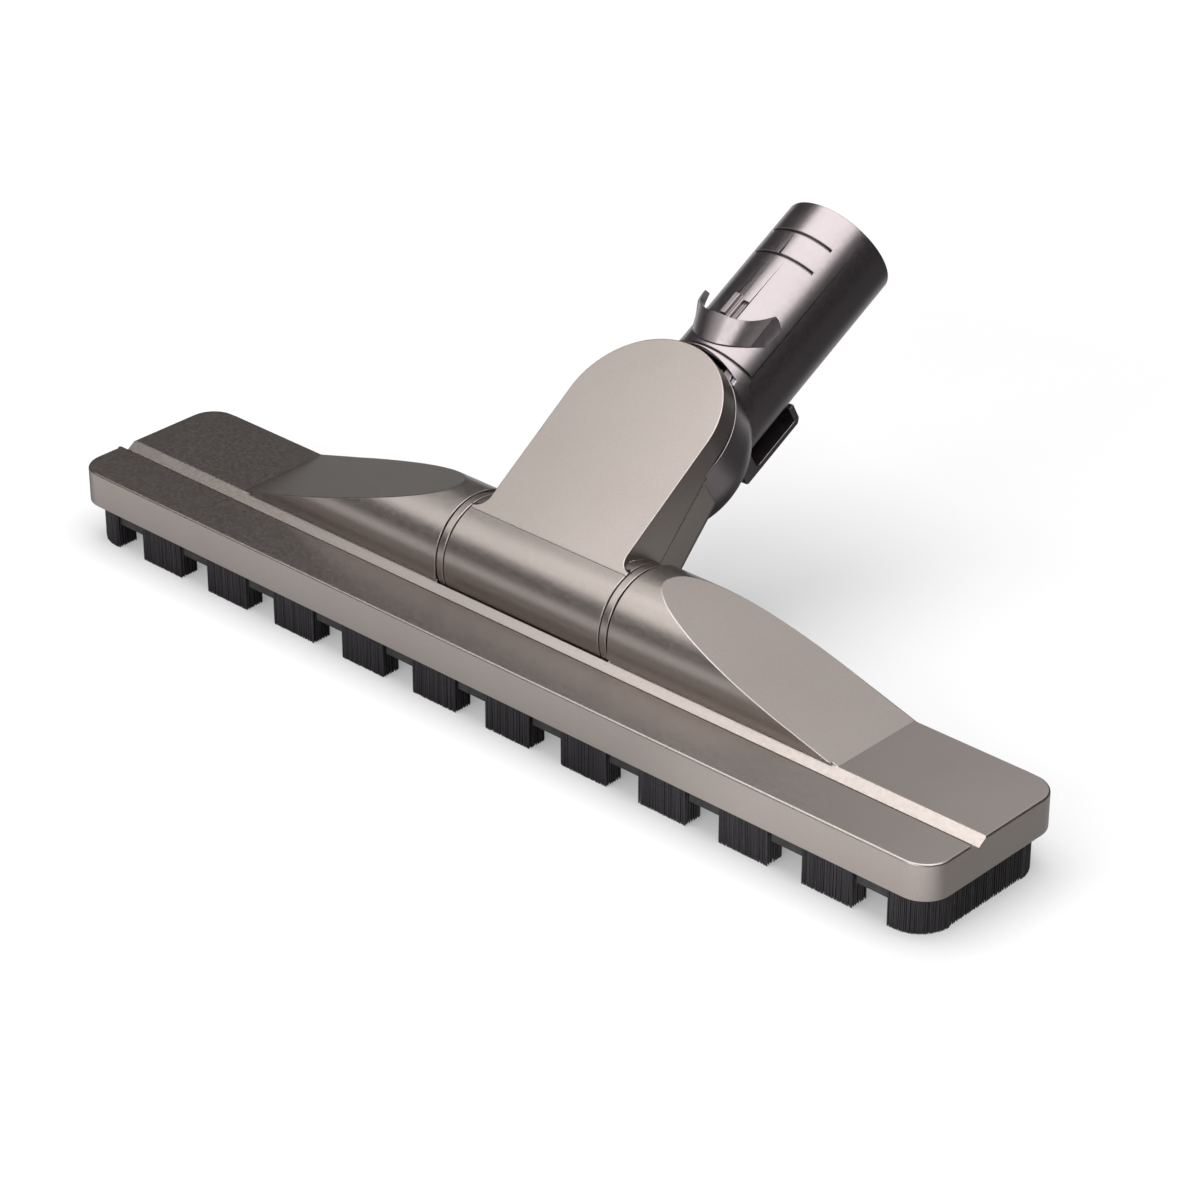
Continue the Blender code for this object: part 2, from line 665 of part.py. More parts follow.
def neck_upper_shell():
    half = TONGUE_HALF - WALL
    body = cylinder("barrel", BARREL_RADIUS, -BARREL_HALF, BARREL_HALF, "X")
    join(body, tongue_prism("tongue", TONGUE_HALF, 0, -0.020))
    cut(body, beyond_seam("below", -FAR), neck_bore())
    duct = tongue_prism("duct", half, -WALL, -0.030)
    cut(duct, box("front", (-FAR, -FAR, -FAR), (FAR, DUCT_FRONT, FAR)))
    cut(duct, box("left", (-FAR, -FAR, -FAR), (-half, DUCT_WIDE_FROM, FAR)))
    cut(duct, box("right", (half, -FAR, -FAR), (FAR, DUCT_WIDE_FROM, FAR)))
    cut(body, duct, inlet_wedge("inlet"))
    cut(body, swivel_cylinder("drum", DRUM_RADIUS + DRUM_CLEARANCE, -FAR, DRUM_TOP + GAP))
    for side in (-1, 1):
        boss = neck_screw_axis("boss", NECK_BOSS_RADIUS, -0.0140, -0.0010, side)
        join(body, cut(boss, beyond_seam("below", -FAR)))
        cut(body, neck_screw_axis("hole", HOLE_RADIUS, -0.0200, -0.0045, side))
    return finish(body, "neck_upper_shell", NECK_FRAME, TITANIUM)


def lower_block(name, half, inset, corner):
    """Solid body of the lower shell, or with an inset the air space inside it."""
    (y0, z0), (y1, z1) = LOWER_BOTTOM
    slope = (z1 - z0) / (y1 - y0)
    end = SWIVEL_IN_NECK @ Vector((0, LOWER_END_S, -CAP_HEIGHT))
    foot_y = end.y + math.sin(math.radians(TONGUE_TILT_DEG)) * LOWER_RUN
    outline = [(0.0, z0), (y0 - LOWER_FOOT_STEP, z0 + inset), (foot_y, z0 + (foot_y - y0) * slope + inset),
               (end.y, end.z + 0.01), (0.0, LOWER_RUN)]
    solid = extrusion(name, outline, -half, half)
    bm = bmesh.new()
    bm.from_mesh(solid.data)
    bpy.data.objects.remove(solid, do_unlink=True)
    bmesh.ops.dissolve_limit(bm, angle_limit=0.001, verts=bm.verts, edges=bm.edges)
    low_edges = []
    for edge in bm.edges:
        first, second = (vert.co for vert in edge.verts)
        middle = (first + second) / 2
        expected = z0 + (middle.y - y0) * slope + inset
        if abs(first.x - second.x) < TINY and abs(middle.z - expected) < OVER and edge.calc_length() > 0.01:
            low_edges.append(edge)
    bmesh.ops.bevel(bm, geom=low_edges, offset=corner, segments=5, affect="EDGES", profile=0.5)
    return object_from_bmesh(name, bm)


def neck_lower_shell():
    drum_space = DRUM_RADIUS + DRUM_CLEARANCE
    body = lower_block("lower", LOWER_HALF, 0.0, LOWER_CORNER)
    join(body, cylinder("barrel", BARREL_RADIUS, -BARREL_HALF, BARREL_HALF, "X"))
    cut(body, beyond_seam("above", FAR, GAP), swivel_cylinder("drum", drum_space, -FAR, FAR), neck_bore())
    duct = lower_block("duct", LOWER_HALF - WALL, WALL, LOWER_CORNER - WALL / 2)
    cut(duct, swivel_cylinder("wall", drum_space + WALL, -FAR, FAR))
    cut(body, duct, inlet_wedge("inlet"))
    for side in (-1, 1):
        boss = neck_screw_axis("boss", NECK_BOSS_RADIUS, -0.0215, -0.0050, side)
        join(body, cut(boss, beyond_seam("above", FAR, GAP)))
        cut(body, neck_screw_axis("hole", HOLE_RADIUS, -FAR, 0.0, side))
        cut(body, neck_screw_axis("counterbore", NECK_SCREW_HEAD + GAP, -FAR, -0.0200, side))
    return finish(body, "neck_lower_shell", NECK_FRAME, TITANIUM)


def trunnion(name, side):
    """End disc of the barrel with the pin it turns on."""
    profile = [(0, RING_INNER), (BARREL_RADIUS, RING_INNER), (BARREL_RADIUS, RING_OUTER),
               (TRUNNION_RADIUS, RING_OUTER), (TRUNNION_RADIUS, TRUNNION_END), (0, TRUNNION_END)]
    body = turned("trunnion", profile, "X", ROUND)
    if side < 0:
        body = mirrored(body)
    return finish(body, name, NECK_FRAME, TITANIUM)


def swivel_retainer():
    """Ring under the cap whose lip hooks below the drum's flange; its front is open to the air."""
    lip_top = DRUM_TOP - FLANGE_HEIGHT - GAP
    lip_low = lip_top - LIP_HEIGHT
    top = -WALL - GAP
    profile = [(RETAINER_INNER, top), (RETAINER_OUTER, top), (RETAINER_OUTER, lip_top),
               (RETAINER_LIP, lip_top), (RETAINER_LIP, lip_low), (RETAINER_INNER, lip_low)]
    body = turned("retainer", profile)
    cut(body, box("window", (-0.015, -FAR, lip_top + 0.0004), (0.015, 0, FAR)))
    moved(body, SWIVEL_IN_NECK)
    return finish(body, "swivel_retainer", NECK_FRAME, ACETAL)


def swivel_seal():
    """Felt ring between the cap's wall and the drum's flange."""
    low = DRUM_TOP + GAP
    body = turned("seal", [(RING_SEAL_INNER, RING_SEAL_TOP), (RING_SEAL_OUTER, RING_SEAL_TOP),
                           (RING_SEAL_OUTER, low), (RING_SEAL_INNER, low)])
    cut(body, box("window", (-0.016, -FAR, -FAR), (0.016, 0, FAR)))
    moved(body, SWIVEL_IN_NECK)
    return finish(body, "swivel_seal", NECK_FRAME, FELT)


def neck_screw(name, side):
    profile = [(0, -0.0232), (0.0020, -0.0232), (NECK_SCREW_HEAD, -0.0222), (NECK_SCREW_HEAD, -0.0203),
               (SHANK_RADIUS, -0.0203), (SHANK_RADIUS, -0.0056), (0, -0.0049)]
    body = turned("screw", profile, steps=SMALL)
    moved(body, SWIVEL_IN_NECK @ Matrix.Translation((side * NECK_SCREW_X, NECK_SCREW_S, 0)))
    return finish(body, name, NECK_FRAME, STEEL)


# ---------------------------------------------------------------- connector

def drum_profile(grow=0.0):
    """Outer side of the drum from its axis at the bottom to its top rim."""
    outer = []
    for i in range(9):
        angle = math.radians(90 * i / 8)
        outer.append(((DRUM_RADIUS + grow) * math.sin(angle),
                      DRUM_STRAIGHT - (DRUM_STRAIGHT - DRUM_BOTTOM + grow) * math.cos(angle)))
    return outer + [(DRUM_RADIUS + grow, DRUM_TOP + grow)]


def socket_collar():
    """Short sleeve round the foot of the spigot, clear of the cap, with a mouth that slopes back."""
    sleeve = cylinder("sleeve", SOCKET_RADIUS, SOCKET_START, SOCKET_MOUTH, "Y", segments=FINE)
    beyond = [SOCKET_CORNER, (FAR, SOCKET_CORNER[1]), (FAR, -FAR), (SOCKET_HEEL[0], -FAR), SOCKET_HEEL]
    cut(sleeve, extrusion("beyond", beyond, -FAR, FAR))
    cut(sleeve, swivel_cylinder("cap_space", CAP_SPACE_RADIUS, CAP_SPACE_LOW, FAR))
    cut(sleeve, swivel_cylinder("drum_space", DRUM_RADIUS - WALL / 2, -FAR, FAR))
    return sleeve


def socket_bore():
    return cylinder("socket", TUBE_RADIUS + GAP, SOCKET_BORE_START, FAR, "Y", segments=FINE)


def swivel_drum():
    inner = [(r, z) for r, z in drum_profile(-WALL) if z < DRUM_STRAIGHT + TINY]
    under = DRUM_TOP - FLANGE_HEIGHT
    profile = drum_profile() + [(FLANGE_INNER, DRUM_TOP), (FLANGE_INNER, under),
                                (DRUM_RADIUS - WALL, under)] + list(reversed(inner))
    body = moved(turned("drum", profile), SWIVEL_IN_NECK)
    cut(body, socket_bore())
    join(body, cut(socket_collar(), socket_bore()))
    return finish(on_swivel(body), "swivel_drum", SWIVEL_FRAME, PURPLE_GREY)


def sector_ring(name, inner, low, high, half_deg):
    """Ring about the spigot's axis from a radius to past the tube, kept over a sector at its upper side."""
    outer = TUBE_RADIUS + OVER
    body = turned(name, [(inner, high), (outer, high), (outer, low), (inner, low)], "Y", FINE)
    half = math.radians(half_deg)
    reach = (FAR * math.sin(half), FAR * math.cos(half))
    sector = [(0, 0), reach, (0, 2 * FAR), (-reach[0], reach[1])]
    return keep(body, extrusion("sector", sector, 0, 2 * FAR, plane="XZ"))


def spigot_tube():
    body = cylinder("tube", TUBE_RADIUS, TUBE_START, TUBE_END, "Y", segments=FINE)
    cut(body, cylinder("bore", TUBE_BORE, 0, 2 * FAR, "Y", segments=FINE))
    join(body, box("rib", RIB_LOW, RIB_HIGH))
    cut(body, swivel_cylinder("cap_space", CAP_SPACE_RADIUS, CAP_SPACE_LOW, FAR))
    cut(body, swivel_cylinder("lip_space", LIP_SPACE_RADIUS, LIP_SPACE_LOW, FAR))
    slit = sector_ring("slit", TUBE_RADIUS - SLIT_DEPTH, SLIT_START, SLIT_START + SLIT_WIDTH, SLIT_HALF_DEG)
    cut(body, slit, box("notch", NOTCH_LOW, NOTCH_HIGH))
    for low in (CATCH_START, CATCH_END):
        high = low + CATCH_SLIT_WIDTH
        cut(body, sector_ring("catch_slit", TUBE_RADIUS - CATCH_SLIT_DEPTH, low, high, CATCH_HALF_DEG))
    return finish(on_swivel(body), "spigot_tube", SWIVEL_FRAME, PURPLE_GREY)


def collar_section(angle_deg):
    """One section of the flared stop collar: foot on the tube, free lip standing clear of it."""
    angle = math.radians(angle_deg)
    turn = abs(angle_deg) / COLLAR_HALF_DEG
    rise = min(abs(angle_deg) / COLLAR_SHOULDER_DEG, 1.0)
    fall = max(abs(angle_deg) - COLLAR_SHOULDER_DEG, 0.0) / (COLLAR_HALF_DEG - COLLAR_SHOULDER_DEG)
    low = COLLAR_FOOT + COLLAR_FOOT_CURVE * (1 - math.cos(angle))
    high = COLLAR_LIP + COLLAR_LIP_RISE * rise ** 3 - COLLAR_LIP_FALL * fall * fall
    foot = TUBE_RADIUS + GAP
    lip = COLLAR_LIP_RADIUS - COLLAR_LIP_DROP * turn ** 4
    section = [(foot, low), (lip, high), (lip - COLLAR_LIP_WIDTH, high + GAP),
               (foot, min(low + COLLAR_FOOT_WIDTH, high - OVER))]
    return [(r * math.sin(angle), u, r * math.cos(angle)) for r, u in section]


def stop_collar():
    count = 28
    angles = [-COLLAR_HALF_DEG + 2 * COLLAR_HALF_DEG * i / count for i in range(count + 1)]
    body = loft("collar", [collar_section(a) for a in angles])
    return finish(on_swivel(body), "stop_collar", SWIVEL_FRAME, PURPLE_GREY)


def parking_hook():
    """Flat spring hook under the spigot, rooted at the drum, with its tip turned up."""
    floor = HOOK_BOTTOM + HOOK_THICKNESS
    tip = HOOK_TIP - HOOK_TIP_THICKNESS
    outline = [(HOOK_ROOT, HOOK_TOP), (HOOK_ROOT, HOOK_BOTTOM + 2 * GAP),
               (HOOK_ROOT + 2 * GAP, HOOK_BOTTOM), (HOOK_TIP - 4 * GAP, HOOK_BOTTOM),
               (HOOK_TIP, HOOK_BOTTOM + 5 * GAP), (HOOK_TIP, HOOK_TIP_TOP),
               (tip, HOOK_TIP_TOP), (tip, floor), (HOOK_ROOT_END + OVER, floor),
               (HOOK_ROOT_END, floor + OVER), (HOOK_ROOT_END, HOOK_TOP)]
    body = extrusion("hook", outline, -HOOK_HALF, HOOK_HALF)
    root = cylinder("root_space", TUBE_RADIUS + GAP, 0, HOOK_ROOT_END + WALL, "Y", segments=FINE)
    tip_space = cylinder("tip_space", HOOK_TIP_SPACE, HOOK_ROOT_END + WALL, FAR, "Y", segments=FINE)
    drum = moved(turned("drum_space", drum_profile(GAP) + [(0, DRUM_TOP + GAP)]), SWIVEL_IN_NECK)
    cut(body, root, tip_space, drum)
    return finish(on_swivel(body), "parking_hook", SWIVEL_FRAME, PURPLE_GREY)


# ---------------------------------------------------------------- build

def build_head():
    upper_housing()
    sole_plate()
    brush_frame()
    for index in range(BLOCK_COUNT):
        tuft_block(index)
    tuft_end("bristle_end_left", -1)
    tuft_end("bristle_end_right", 1)
    tuft_rear()
    pivot_bush("pivot_bush_left", -1)
    pivot_bush("pivot_bush_right", 1)
    barrel_seal()
    for number, (x, y) in enumerate(SCREW_SPOTS, start=1):
        sole_screw(number, x, y)


def build_neck():
    neck_upper_shell()
    neck_lower_shell()
    trunnion("trunnion_left", -1)
    trunnion("trunnion_right", 1)
    swivel_retainer()
    swivel_seal()
    neck_screw("neck_screw_left", -1)
    neck_screw("neck_screw_right", 1)


def build_connector():
    swivel_drum()
    spigot_tube()
    stop_collar()
    parking_hook()


build_head()
build_neck()
build_connector()
bpy.data.collections.remove(BENCH)
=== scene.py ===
import math
import random

import bmesh
import bpy
from mathutils import Matrix, Vector


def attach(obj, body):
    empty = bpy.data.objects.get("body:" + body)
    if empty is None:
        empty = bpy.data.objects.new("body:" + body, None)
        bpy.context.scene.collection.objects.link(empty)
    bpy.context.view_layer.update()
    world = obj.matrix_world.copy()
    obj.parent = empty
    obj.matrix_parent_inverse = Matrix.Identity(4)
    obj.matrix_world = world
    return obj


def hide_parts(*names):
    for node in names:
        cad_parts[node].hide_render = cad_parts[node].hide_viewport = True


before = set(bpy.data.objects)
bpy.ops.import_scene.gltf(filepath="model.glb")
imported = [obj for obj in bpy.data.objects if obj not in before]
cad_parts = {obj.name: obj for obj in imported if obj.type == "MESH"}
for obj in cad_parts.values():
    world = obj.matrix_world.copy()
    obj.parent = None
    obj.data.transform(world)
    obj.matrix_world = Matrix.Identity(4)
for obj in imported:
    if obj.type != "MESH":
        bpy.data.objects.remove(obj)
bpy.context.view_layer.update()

scene = bpy.context.scene
BENCH = bpy.data.collections.new("bench")
scene.collection.children.link(BENCH)

# ---------------------------------------------------------------- dimensions in metres

HEAD_LENGTH = 0.310
HEAD_DEPTH = 0.0524
HEAD_CORNER = 0.008
BRISTLE_HEIGHT = 0.012
DECK_Z = 0.0225
EDGE_ROUND = 0.0007
WALL = 0.0022
GAP = 0.0003

# Cutters reach this far past every part, or just over a face.
FAR = 0.1
OVER = 0.001

GROOVE_FRONT_Y = -0.0100
GROOVE_BOTTOM_Y = -0.0074
GROOVE_BACK_Y = -0.0044
GROOVE_DEPTH = 0.0020
GROOVE_LIP = 0.0001
GROOVE_OVER = 0.0005
DECK_EXTRA = 0.0010
BEHIND_HEAD = 0.04
ABOVE_BARREL = 0.08

BARREL_Y = 0.0102
BARREL_Z = 0.0276
BARREL_RADIUS = 0.0154
BARREL_HALF = 0.0283
RING_INNER = BARREL_HALF + GAP
RING_OUTER = 0.0310
SLOT_HALF = 0.0314
SLOT_RADIUS = BARREL_RADIUS + 0.0005
TRUNNION_RADIUS = 0.0050
TRUNNION_END = 0.0385
BEARING_RADIUS = 0.0073
BUSH_CLEARANCE = 0.00008
BUSH_RADIUS = 0.0070
BUSH_FLANGE_RADIUS = 0.0090
BUSH_END = 0.0366
BUSH_RECESS = 0.0002
BUSH_FLANGE_GAP = 0.0004
SEAL_HALF = 0.026
SEAL_FRONT = 0.0215
SEAL_BACK = 0.0174
SEAL_LOW = BRISTLE_HEIGHT + 0.0023
SEAL_HIGH = BRISTLE_HEIGHT + 0.0060
SEAL_CLEARANCE = 0.0004
INLET_FROM_DEG = -174.3
INLET_TO_DEG = -104.3
INLET_REACH = 0.03

SOLE_INSET = WALL + 0.0005
SOLE_THICKNESS = 0.0020
MOUTH_HALF_X = 0.026
MOUTH_HALF_Y = 0.0112
MOUTH_CORNER = 0.0015
MOUTH_SHIFT = 0.0058

CROWN_POWER = 2.4
CHEEK_FOOT = BRISTLE_HEIGHT + 0.0040
WING_FOOT = 0.1085
WING_RUN_OUT = 0.002
WING_SLOPE_DEG = 16.3

NECK_PITCH_DEG = 28.4
TONGUE_TILT_DEG = 6.2
TONGUE_START = Vector((0.0, 0.0031, 0.0151))
TONGUE_LENGTH = 0.0424
TONGUE_HALF = 0.0247
TONGUE_DRAFT_DEG = 6.0
FLARE_FOOT = 0.0010
FLARE_LENGTH = 0.0042
FLARE_STEPS = 14
TONGUE_OVERLAP = 0.006
TONGUE_DEPTH = 0.020
CAP_HEIGHT = 0.0065
LOWER_HALF = 0.0256
LOWER_BOTTOM = ((0.0109, -0.0109), (0.0336, -0.0031))
LOWER_CORNER = 0.0040
LOWER_END_S = -0.0080
LOWER_RUN = 0.012
LOWER_FOOT_STEP = 0.004
DUCT_DEPTH = 0.030
DUCT_FRONT = 0.0060
DUCT_WIDE_FROM = 0.020
NECK_SCREW_X = 0.0206
NECK_SCREW_S = -0.0222
NECK_SCREW_BOTTOM = -0.0232
NECK_SCREW_SEAT = -0.0203
NECK_SCREW_HEAD = 0.0026
NECK_COUNTERBORE = 0.0029
NECK_COUNTERBORE_TOP = -0.0200

DRUM_RADIUS = 0.0256
DRUM_TOP = -0.0070
DRUM_STRAIGHT = -0.0160
DRUM_BOTTOM = -0.0355
DRUM_CLEARANCE = 0.0005
FLANGE_INNER = 0.0208
FLANGE_HEIGHT = 0.0022
DRUM_FAR = 0.08
RETAINER_INNER = 0.0186
RETAINER_OUTER = 0.0204
RETAINER_LIP = 0.0224
LIP_HEIGHT = 0.0020
RING_SEAL_INNER = 0.0210
RING_SEAL_OUTER = 0.0221
RING_SEAL_TOP = -0.0046
CAP_SPACE_RADIUS = 0.0270
CAP_SPACE_LOW = -0.0095
LIP_SPACE_RADIUS = 0.0229
LIP_SPACE_LOW = -0.0124
SPACE_HIGH = 0.03
SOCKET_RADIUS = 0.0183
SOCKET_START = 0.0560
SOCKET_BORE_START = 0.045
SOCKET_MOUTH = 0.0732
SOCKET_CORNER = (0.0713, 0.0098)
SOCKET_HEEL = (0.0550, -0.0200)

TUBE_RADIUS = 0.0170
TUBE_BORE = 0.0152
TUBE_START = 0.0600
TUBE_END = 0.1283
SLIT_START = 0.0734
SLIT_WIDTH = 0.0010
SLIT_DEPTH = 0.0010
SLIT_HALF_DEG = 56.0
CATCH_START = 0.1086
CATCH_END = 0.1173
CATCH_HALF_DEG = 38.0
CATCH_SLIT_WIDTH = 0.0008
CATCH_SLIT_DEPTH = 0.0012
RIB_LOW = (-0.0026, 0.0850, 0.0160)
RIB_HIGH = (-0.0008, 0.0925, 0.0182)
NOTCH_LOW = (0.0004, 0.0850, TUBE_RADIUS - 0.0012)
NOTCH_HIGH = (0.0026, 0.0915, 0.02)

COLLAR_HALF_DEG = 48.0
COLLAR_SHOULDER_DEG = 37.0
COLLAR_FOOT = 0.0753
COLLAR_FOOT_CURVE = 0.0248
COLLAR_FOOT_WIDTH = 0.0032
COLLAR_LIP = 0.0825
COLLAR_LIP_RISE = 0.0080
COLLAR_LIP_FALL = 0.0022
COLLAR_LIP_RADIUS = 0.0214
COLLAR_LIP_DROP = 0.0012
COLLAR_LIP_WIDTH = 0.0017
COLLAR_LIP_CROWN = 0.0003
COLLAR_LIP_MIN = 0.0010
COLLAR_SECTIONS = 96

HOOK_HALF = 0.0110
HOOK_ROOT = 0.0600
HOOK_ROOT_END = 0.0655
HOOK_ROOT_CHAMFER = 0.0006
HOOK_TOP = -0.0120
HOOK_BOTTOM = -0.0224
HOOK_THICKNESS = 0.0018
HOOK_TIP = 0.0852
HOOK_TIP_TOP = -0.0155
HOOK_TIP_THICKNESS = 0.0020
HOOK_TIP_SPACE = 0.0182
HOOK_TIP_CHAMFER = (0.0012, 0.0014)
HOOK_HEEL = 0.0665
HOOK_HEEL_TOP = -0.0195

TUFT_DEPTH = 0.0065
TUFT_FRONT_Y = 0.0242
TUFT_END_X = 0.1528
TUFT_CORNER = 0.0100
TUFT_TOP = BRISTLE_HEIGHT - GAP
BLOCK_COUNT = 10
BLOCK_PITCH = 0.02715
BLOCK_WIDTH = 0.0165
CORNER_START_X = 0.1408
TUFT_INNER_X = TUFT_END_X - TUFT_DEPTH
TUFT_INNER_Y = TUFT_FRONT_Y - TUFT_DEPTH
FRAME_HEIGHT = 0.0045
FRAME_INSET = 0.0007
FRAME_WALL = 0.0021
FRAME_FIELD_HALF = 0.136
FIBRE_PITCH = 0.00050
FIBRE_RADIUS = 0.00027
FIBRE_MARGIN = FIBRE_RADIUS + 0.00008
FIBRE_JITTER = 0.00004
FIBRE_SPREAD = 0.00005
FIBRE_TIP = 0.0006
FIBRE_SIDES = 5
ROW_SHARE = 0.866
CORNER_FIBRES = 30

SCREW_SPOTS = [(-0.132, 0.0), (-0.072, 0.0), (0.072, 0.0), (0.132, 0.0),
               (-0.040, -0.0113), (0.040, -0.0113)]
SCREW_HEAD_Z = BRISTLE_HEIGHT - 0.0022
SCREW_HEAD_HEIGHT = 0.0019
SCREW_HEAD_RADIUS = 0.0031
SCREW_TOP = BRISTLE_HEIGHT + 0.0074
SCREW_TIP = 0.0008
RECESS_REACH = SCREW_HEAD_RADIUS * 0.55
RECESS_HALF = 0.00038
RECESS_DEPTH = 0.0009
HOLE_RADIUS = 0.0017
SHANK_RADIUS = 0.0014

# Steps round a circle
ROUND = 160
FINE = 192
BUSH_ROUND = 64
SMALL = 40

# Widths of the rounding on cut edges
SHELL_EDGE = 0.00032
MOULDED_EDGE = 0.0003
NECK_EDGE = 0.00028
SPIGOT_EDGE = 0.00025
COLLAR_EDGE = 0.00022
FRAME_EDGE = 0.0002
RING_EDGE = 0.00015
SCREW_EDGE = 0.00010

SMOOTH_DEG = 12
FIBRE_SMOOTH_DEG = 60
FLAT_DEG = 0.4
MERGE = 0.000004
TINY = 0.000001

# ---------------------------------------------------------------- frames

SIN_PITCH = math.sin(math.radians(NECK_PITCH_DEG))
COS_PITCH = math.cos(math.radians(NECK_PITCH_DEG))
REAR_Y = BARREL_Y + TUBE_END * COS_PITCH + TUBE_RADIUS * SIN_PITCH
HEAD = Matrix.Translation((0, -(REAR_Y - HEAD_DEPTH / 2) / 2, 0))
BARREL = HEAD @ Matrix.Translation((0, BARREL_Y, BARREL_Z))
NECK = BARREL @ Matrix.Rotation(math.radians(NECK_PITCH_DEG), 4, "X")
TILT = Matrix.Rotation(math.radians(TONGUE_TILT_DEG), 4, "X")
SWIVEL_POINT = TONGUE_START + TILT @ Vector((0, TONGUE_LENGTH, 0))
SWIVEL = Matrix.Translation(SWIVEL_POINT) @ TILT
AXIS_TURN = {"Z": Matrix(),
             "X": Matrix.Rotation(math.pi / 2, 4, "Y"),
             "Y": Matrix.Rotation(-math.pi / 2, 4, "X")}

# ---------------------------------------------------------------- mesh tools


def object_from_bmesh(name, bm):
    bmesh.ops.recalc_face_normals(bm, faces=bm.faces)
    mesh = bpy.data.meshes.new(name)
    bm.to_mesh(mesh)
    bm.free()
    obj = bpy.data.objects.new(name, mesh)
    BENCH.objects.link(obj)
    return obj


def applied(obj):
    bpy.context.view_layer.update()
    graph = bpy.context.evaluated_depsgraph_get()
    mesh = bpy.data.meshes.new_from_object(obj.evaluated_get(graph))
    obj.modifiers.clear()
    obj.data = mesh
    return obj


def boolean(body, tool, operation):
    modifier = body.modifiers.new(operation.title(), "BOOLEAN")
    modifier.operation = operation
    modifier.solver = "EXACT"
    modifier.object = tool
    applied(body)
    bpy.data.objects.remove(tool, do_unlink=True)
    return body


def cut(body, *tools):
    for tool in tools:
        boolean(body, tool, "DIFFERENCE")
    return body


def join(body, *tools):
    for tool in tools:
        boolean(body, tool, "UNION")
    return body


def keep(body, tool):
    return boolean(body, tool, "INTERSECT")


def moved(obj, matrix):
    obj.data.transform(matrix)
    return obj


def mirrored(obj):
    """The object's mesh turned over the plane X = 0."""
    bm = bmesh.new()
    bm.from_mesh(obj.data)
    bmesh.ops.scale(bm, vec=(-1, 1, 1), verts=bm.verts)
    bpy.data.objects.remove(obj, do_unlink=True)
    return object_from_bmesh("mirrored", bm)


def box(low, high):
    bm = bmesh.new()
    bmesh.ops.create_cube(bm, size=1.0)
    bmesh.ops.scale(bm, vec=Vector(high) - Vector(low), verts=bm.verts)
    bmesh.ops.translate(bm, vec=(Vector(low) + Vector(high)) / 2, verts=bm.verts)
    return object_from_bmesh("box", bm)


def rounded_slab(half_x, half_y, corner, low_z, high_z, steps=16):
    bm = bmesh.new()
    bmesh.ops.create_cube(bm, size=1.0)
    bmesh.ops.scale(bm, vec=(2 * half_x, 2 * half_y, high_z - low_z), verts=bm.verts)
    bmesh.ops.translate(bm, vec=(0, 0, (low_z + high_z) / 2), verts=bm.verts)
    upright = [e for e in bm.edges if abs(e.verts[0].co.z - e.verts[1].co.z) > TINY]
    bmesh.ops.bevel(bm, geom=upright, offset=corner, segments=steps, affect="EDGES", profile=0.5)
    return object_from_bmesh("slab", bm)


def cylinder(radius, low, high, axis="Z", centre=(0, 0, 0), segments=ROUND):
    bm = bmesh.new()
    bmesh.ops.create_cone(bm, cap_ends=True, segments=segments, depth=high - low,
                          radius1=radius, radius2=radius)
    bmesh.ops.translate(bm, vec=(0, 0, (low + high) / 2), verts=bm.verts)
    bmesh.ops.transform(bm, matrix=Matrix.Translation(centre) @ AXIS_TURN[axis], verts=bm.verts)
    return object_from_bmesh("cylinder", bm)


def prism(outline, low, high, plane="YZ"):
    """An outline thickened along the axis across its plane, from low to high."""
    bm = bmesh.new()
    ends = []
    for level in (low, high):
        if plane == "YZ":
            points = [(level, a, b) for a, b in outline]
        elif plane == "XZ":
            points = [(a, level, b) for a, b in outline]
        else:
            points = [(a, b, level) for a, b in outline]
        ends.append([bm.verts.new(point) for point in points])
    count = len(outline)
    for i in range(count):
        j = (i + 1) % count
        bm.faces.new((ends[0][i], ends[0][j], ends[1][j], ends[1][i]))
    bm.faces.new(ends[0])
    bm.faces.new(ends[1])
    return object_from_bmesh("prism", bm)


def turned(profile, axis="Z", steps=ROUND):
    """A closed (radius, height) profile turned about an axis."""
    bm = bmesh.new()
    rings = []
    for radius, height in profile:
        if radius <= 0:
            rings.append([bm.verts.new((0, 0, height))] * steps)
            continue
        angles = [2 * math.pi * i / steps for i in range(steps)]
        rings.append([bm.verts.new((radius * math.cos(a), radius * math.sin(a), height)) for a in angles])
    for ring, following in zip(rings, rings[1:] + rings[:1]):
        for i in range(steps):
            j = (i + 1) % steps
            corners = [ring[i], ring[j], following[j], following[i]]
            corners = [c for k, c in enumerate(corners) if c not in corners[:k]]
            if len(corners) > 2:
                bm.faces.new(corners)
    bmesh.ops.transform(bm, matrix=AXIS_TURN[axis], verts=bm.verts)
    return object_from_bmesh("turned", bm)


def loft(sections):
    bm = bmesh.new()
    rings = [[bm.verts.new(point) for point in section] for section in sections]
    count = len(rings[0])
    for ring, following in zip(rings, rings[1:]):
        for i in range(count):
            j = (i + 1) % count
            bm.faces.new((ring[i], ring[j], following[j], following[i]))
    bm.faces.new(rings[0])
    bm.faces.new(rings[-1])
    return object_from_bmesh("loft", bm)


def arc(centre_a, centre_b, radius, start_deg, end_deg, steps):
    points = []
    for i in range(steps + 1):
        angle = math.radians(start_deg + (end_deg - start_deg) * i / steps)
        points.append((centre_a + radius * math.cos(angle), centre_b + radius * math.sin(angle)))
    return points


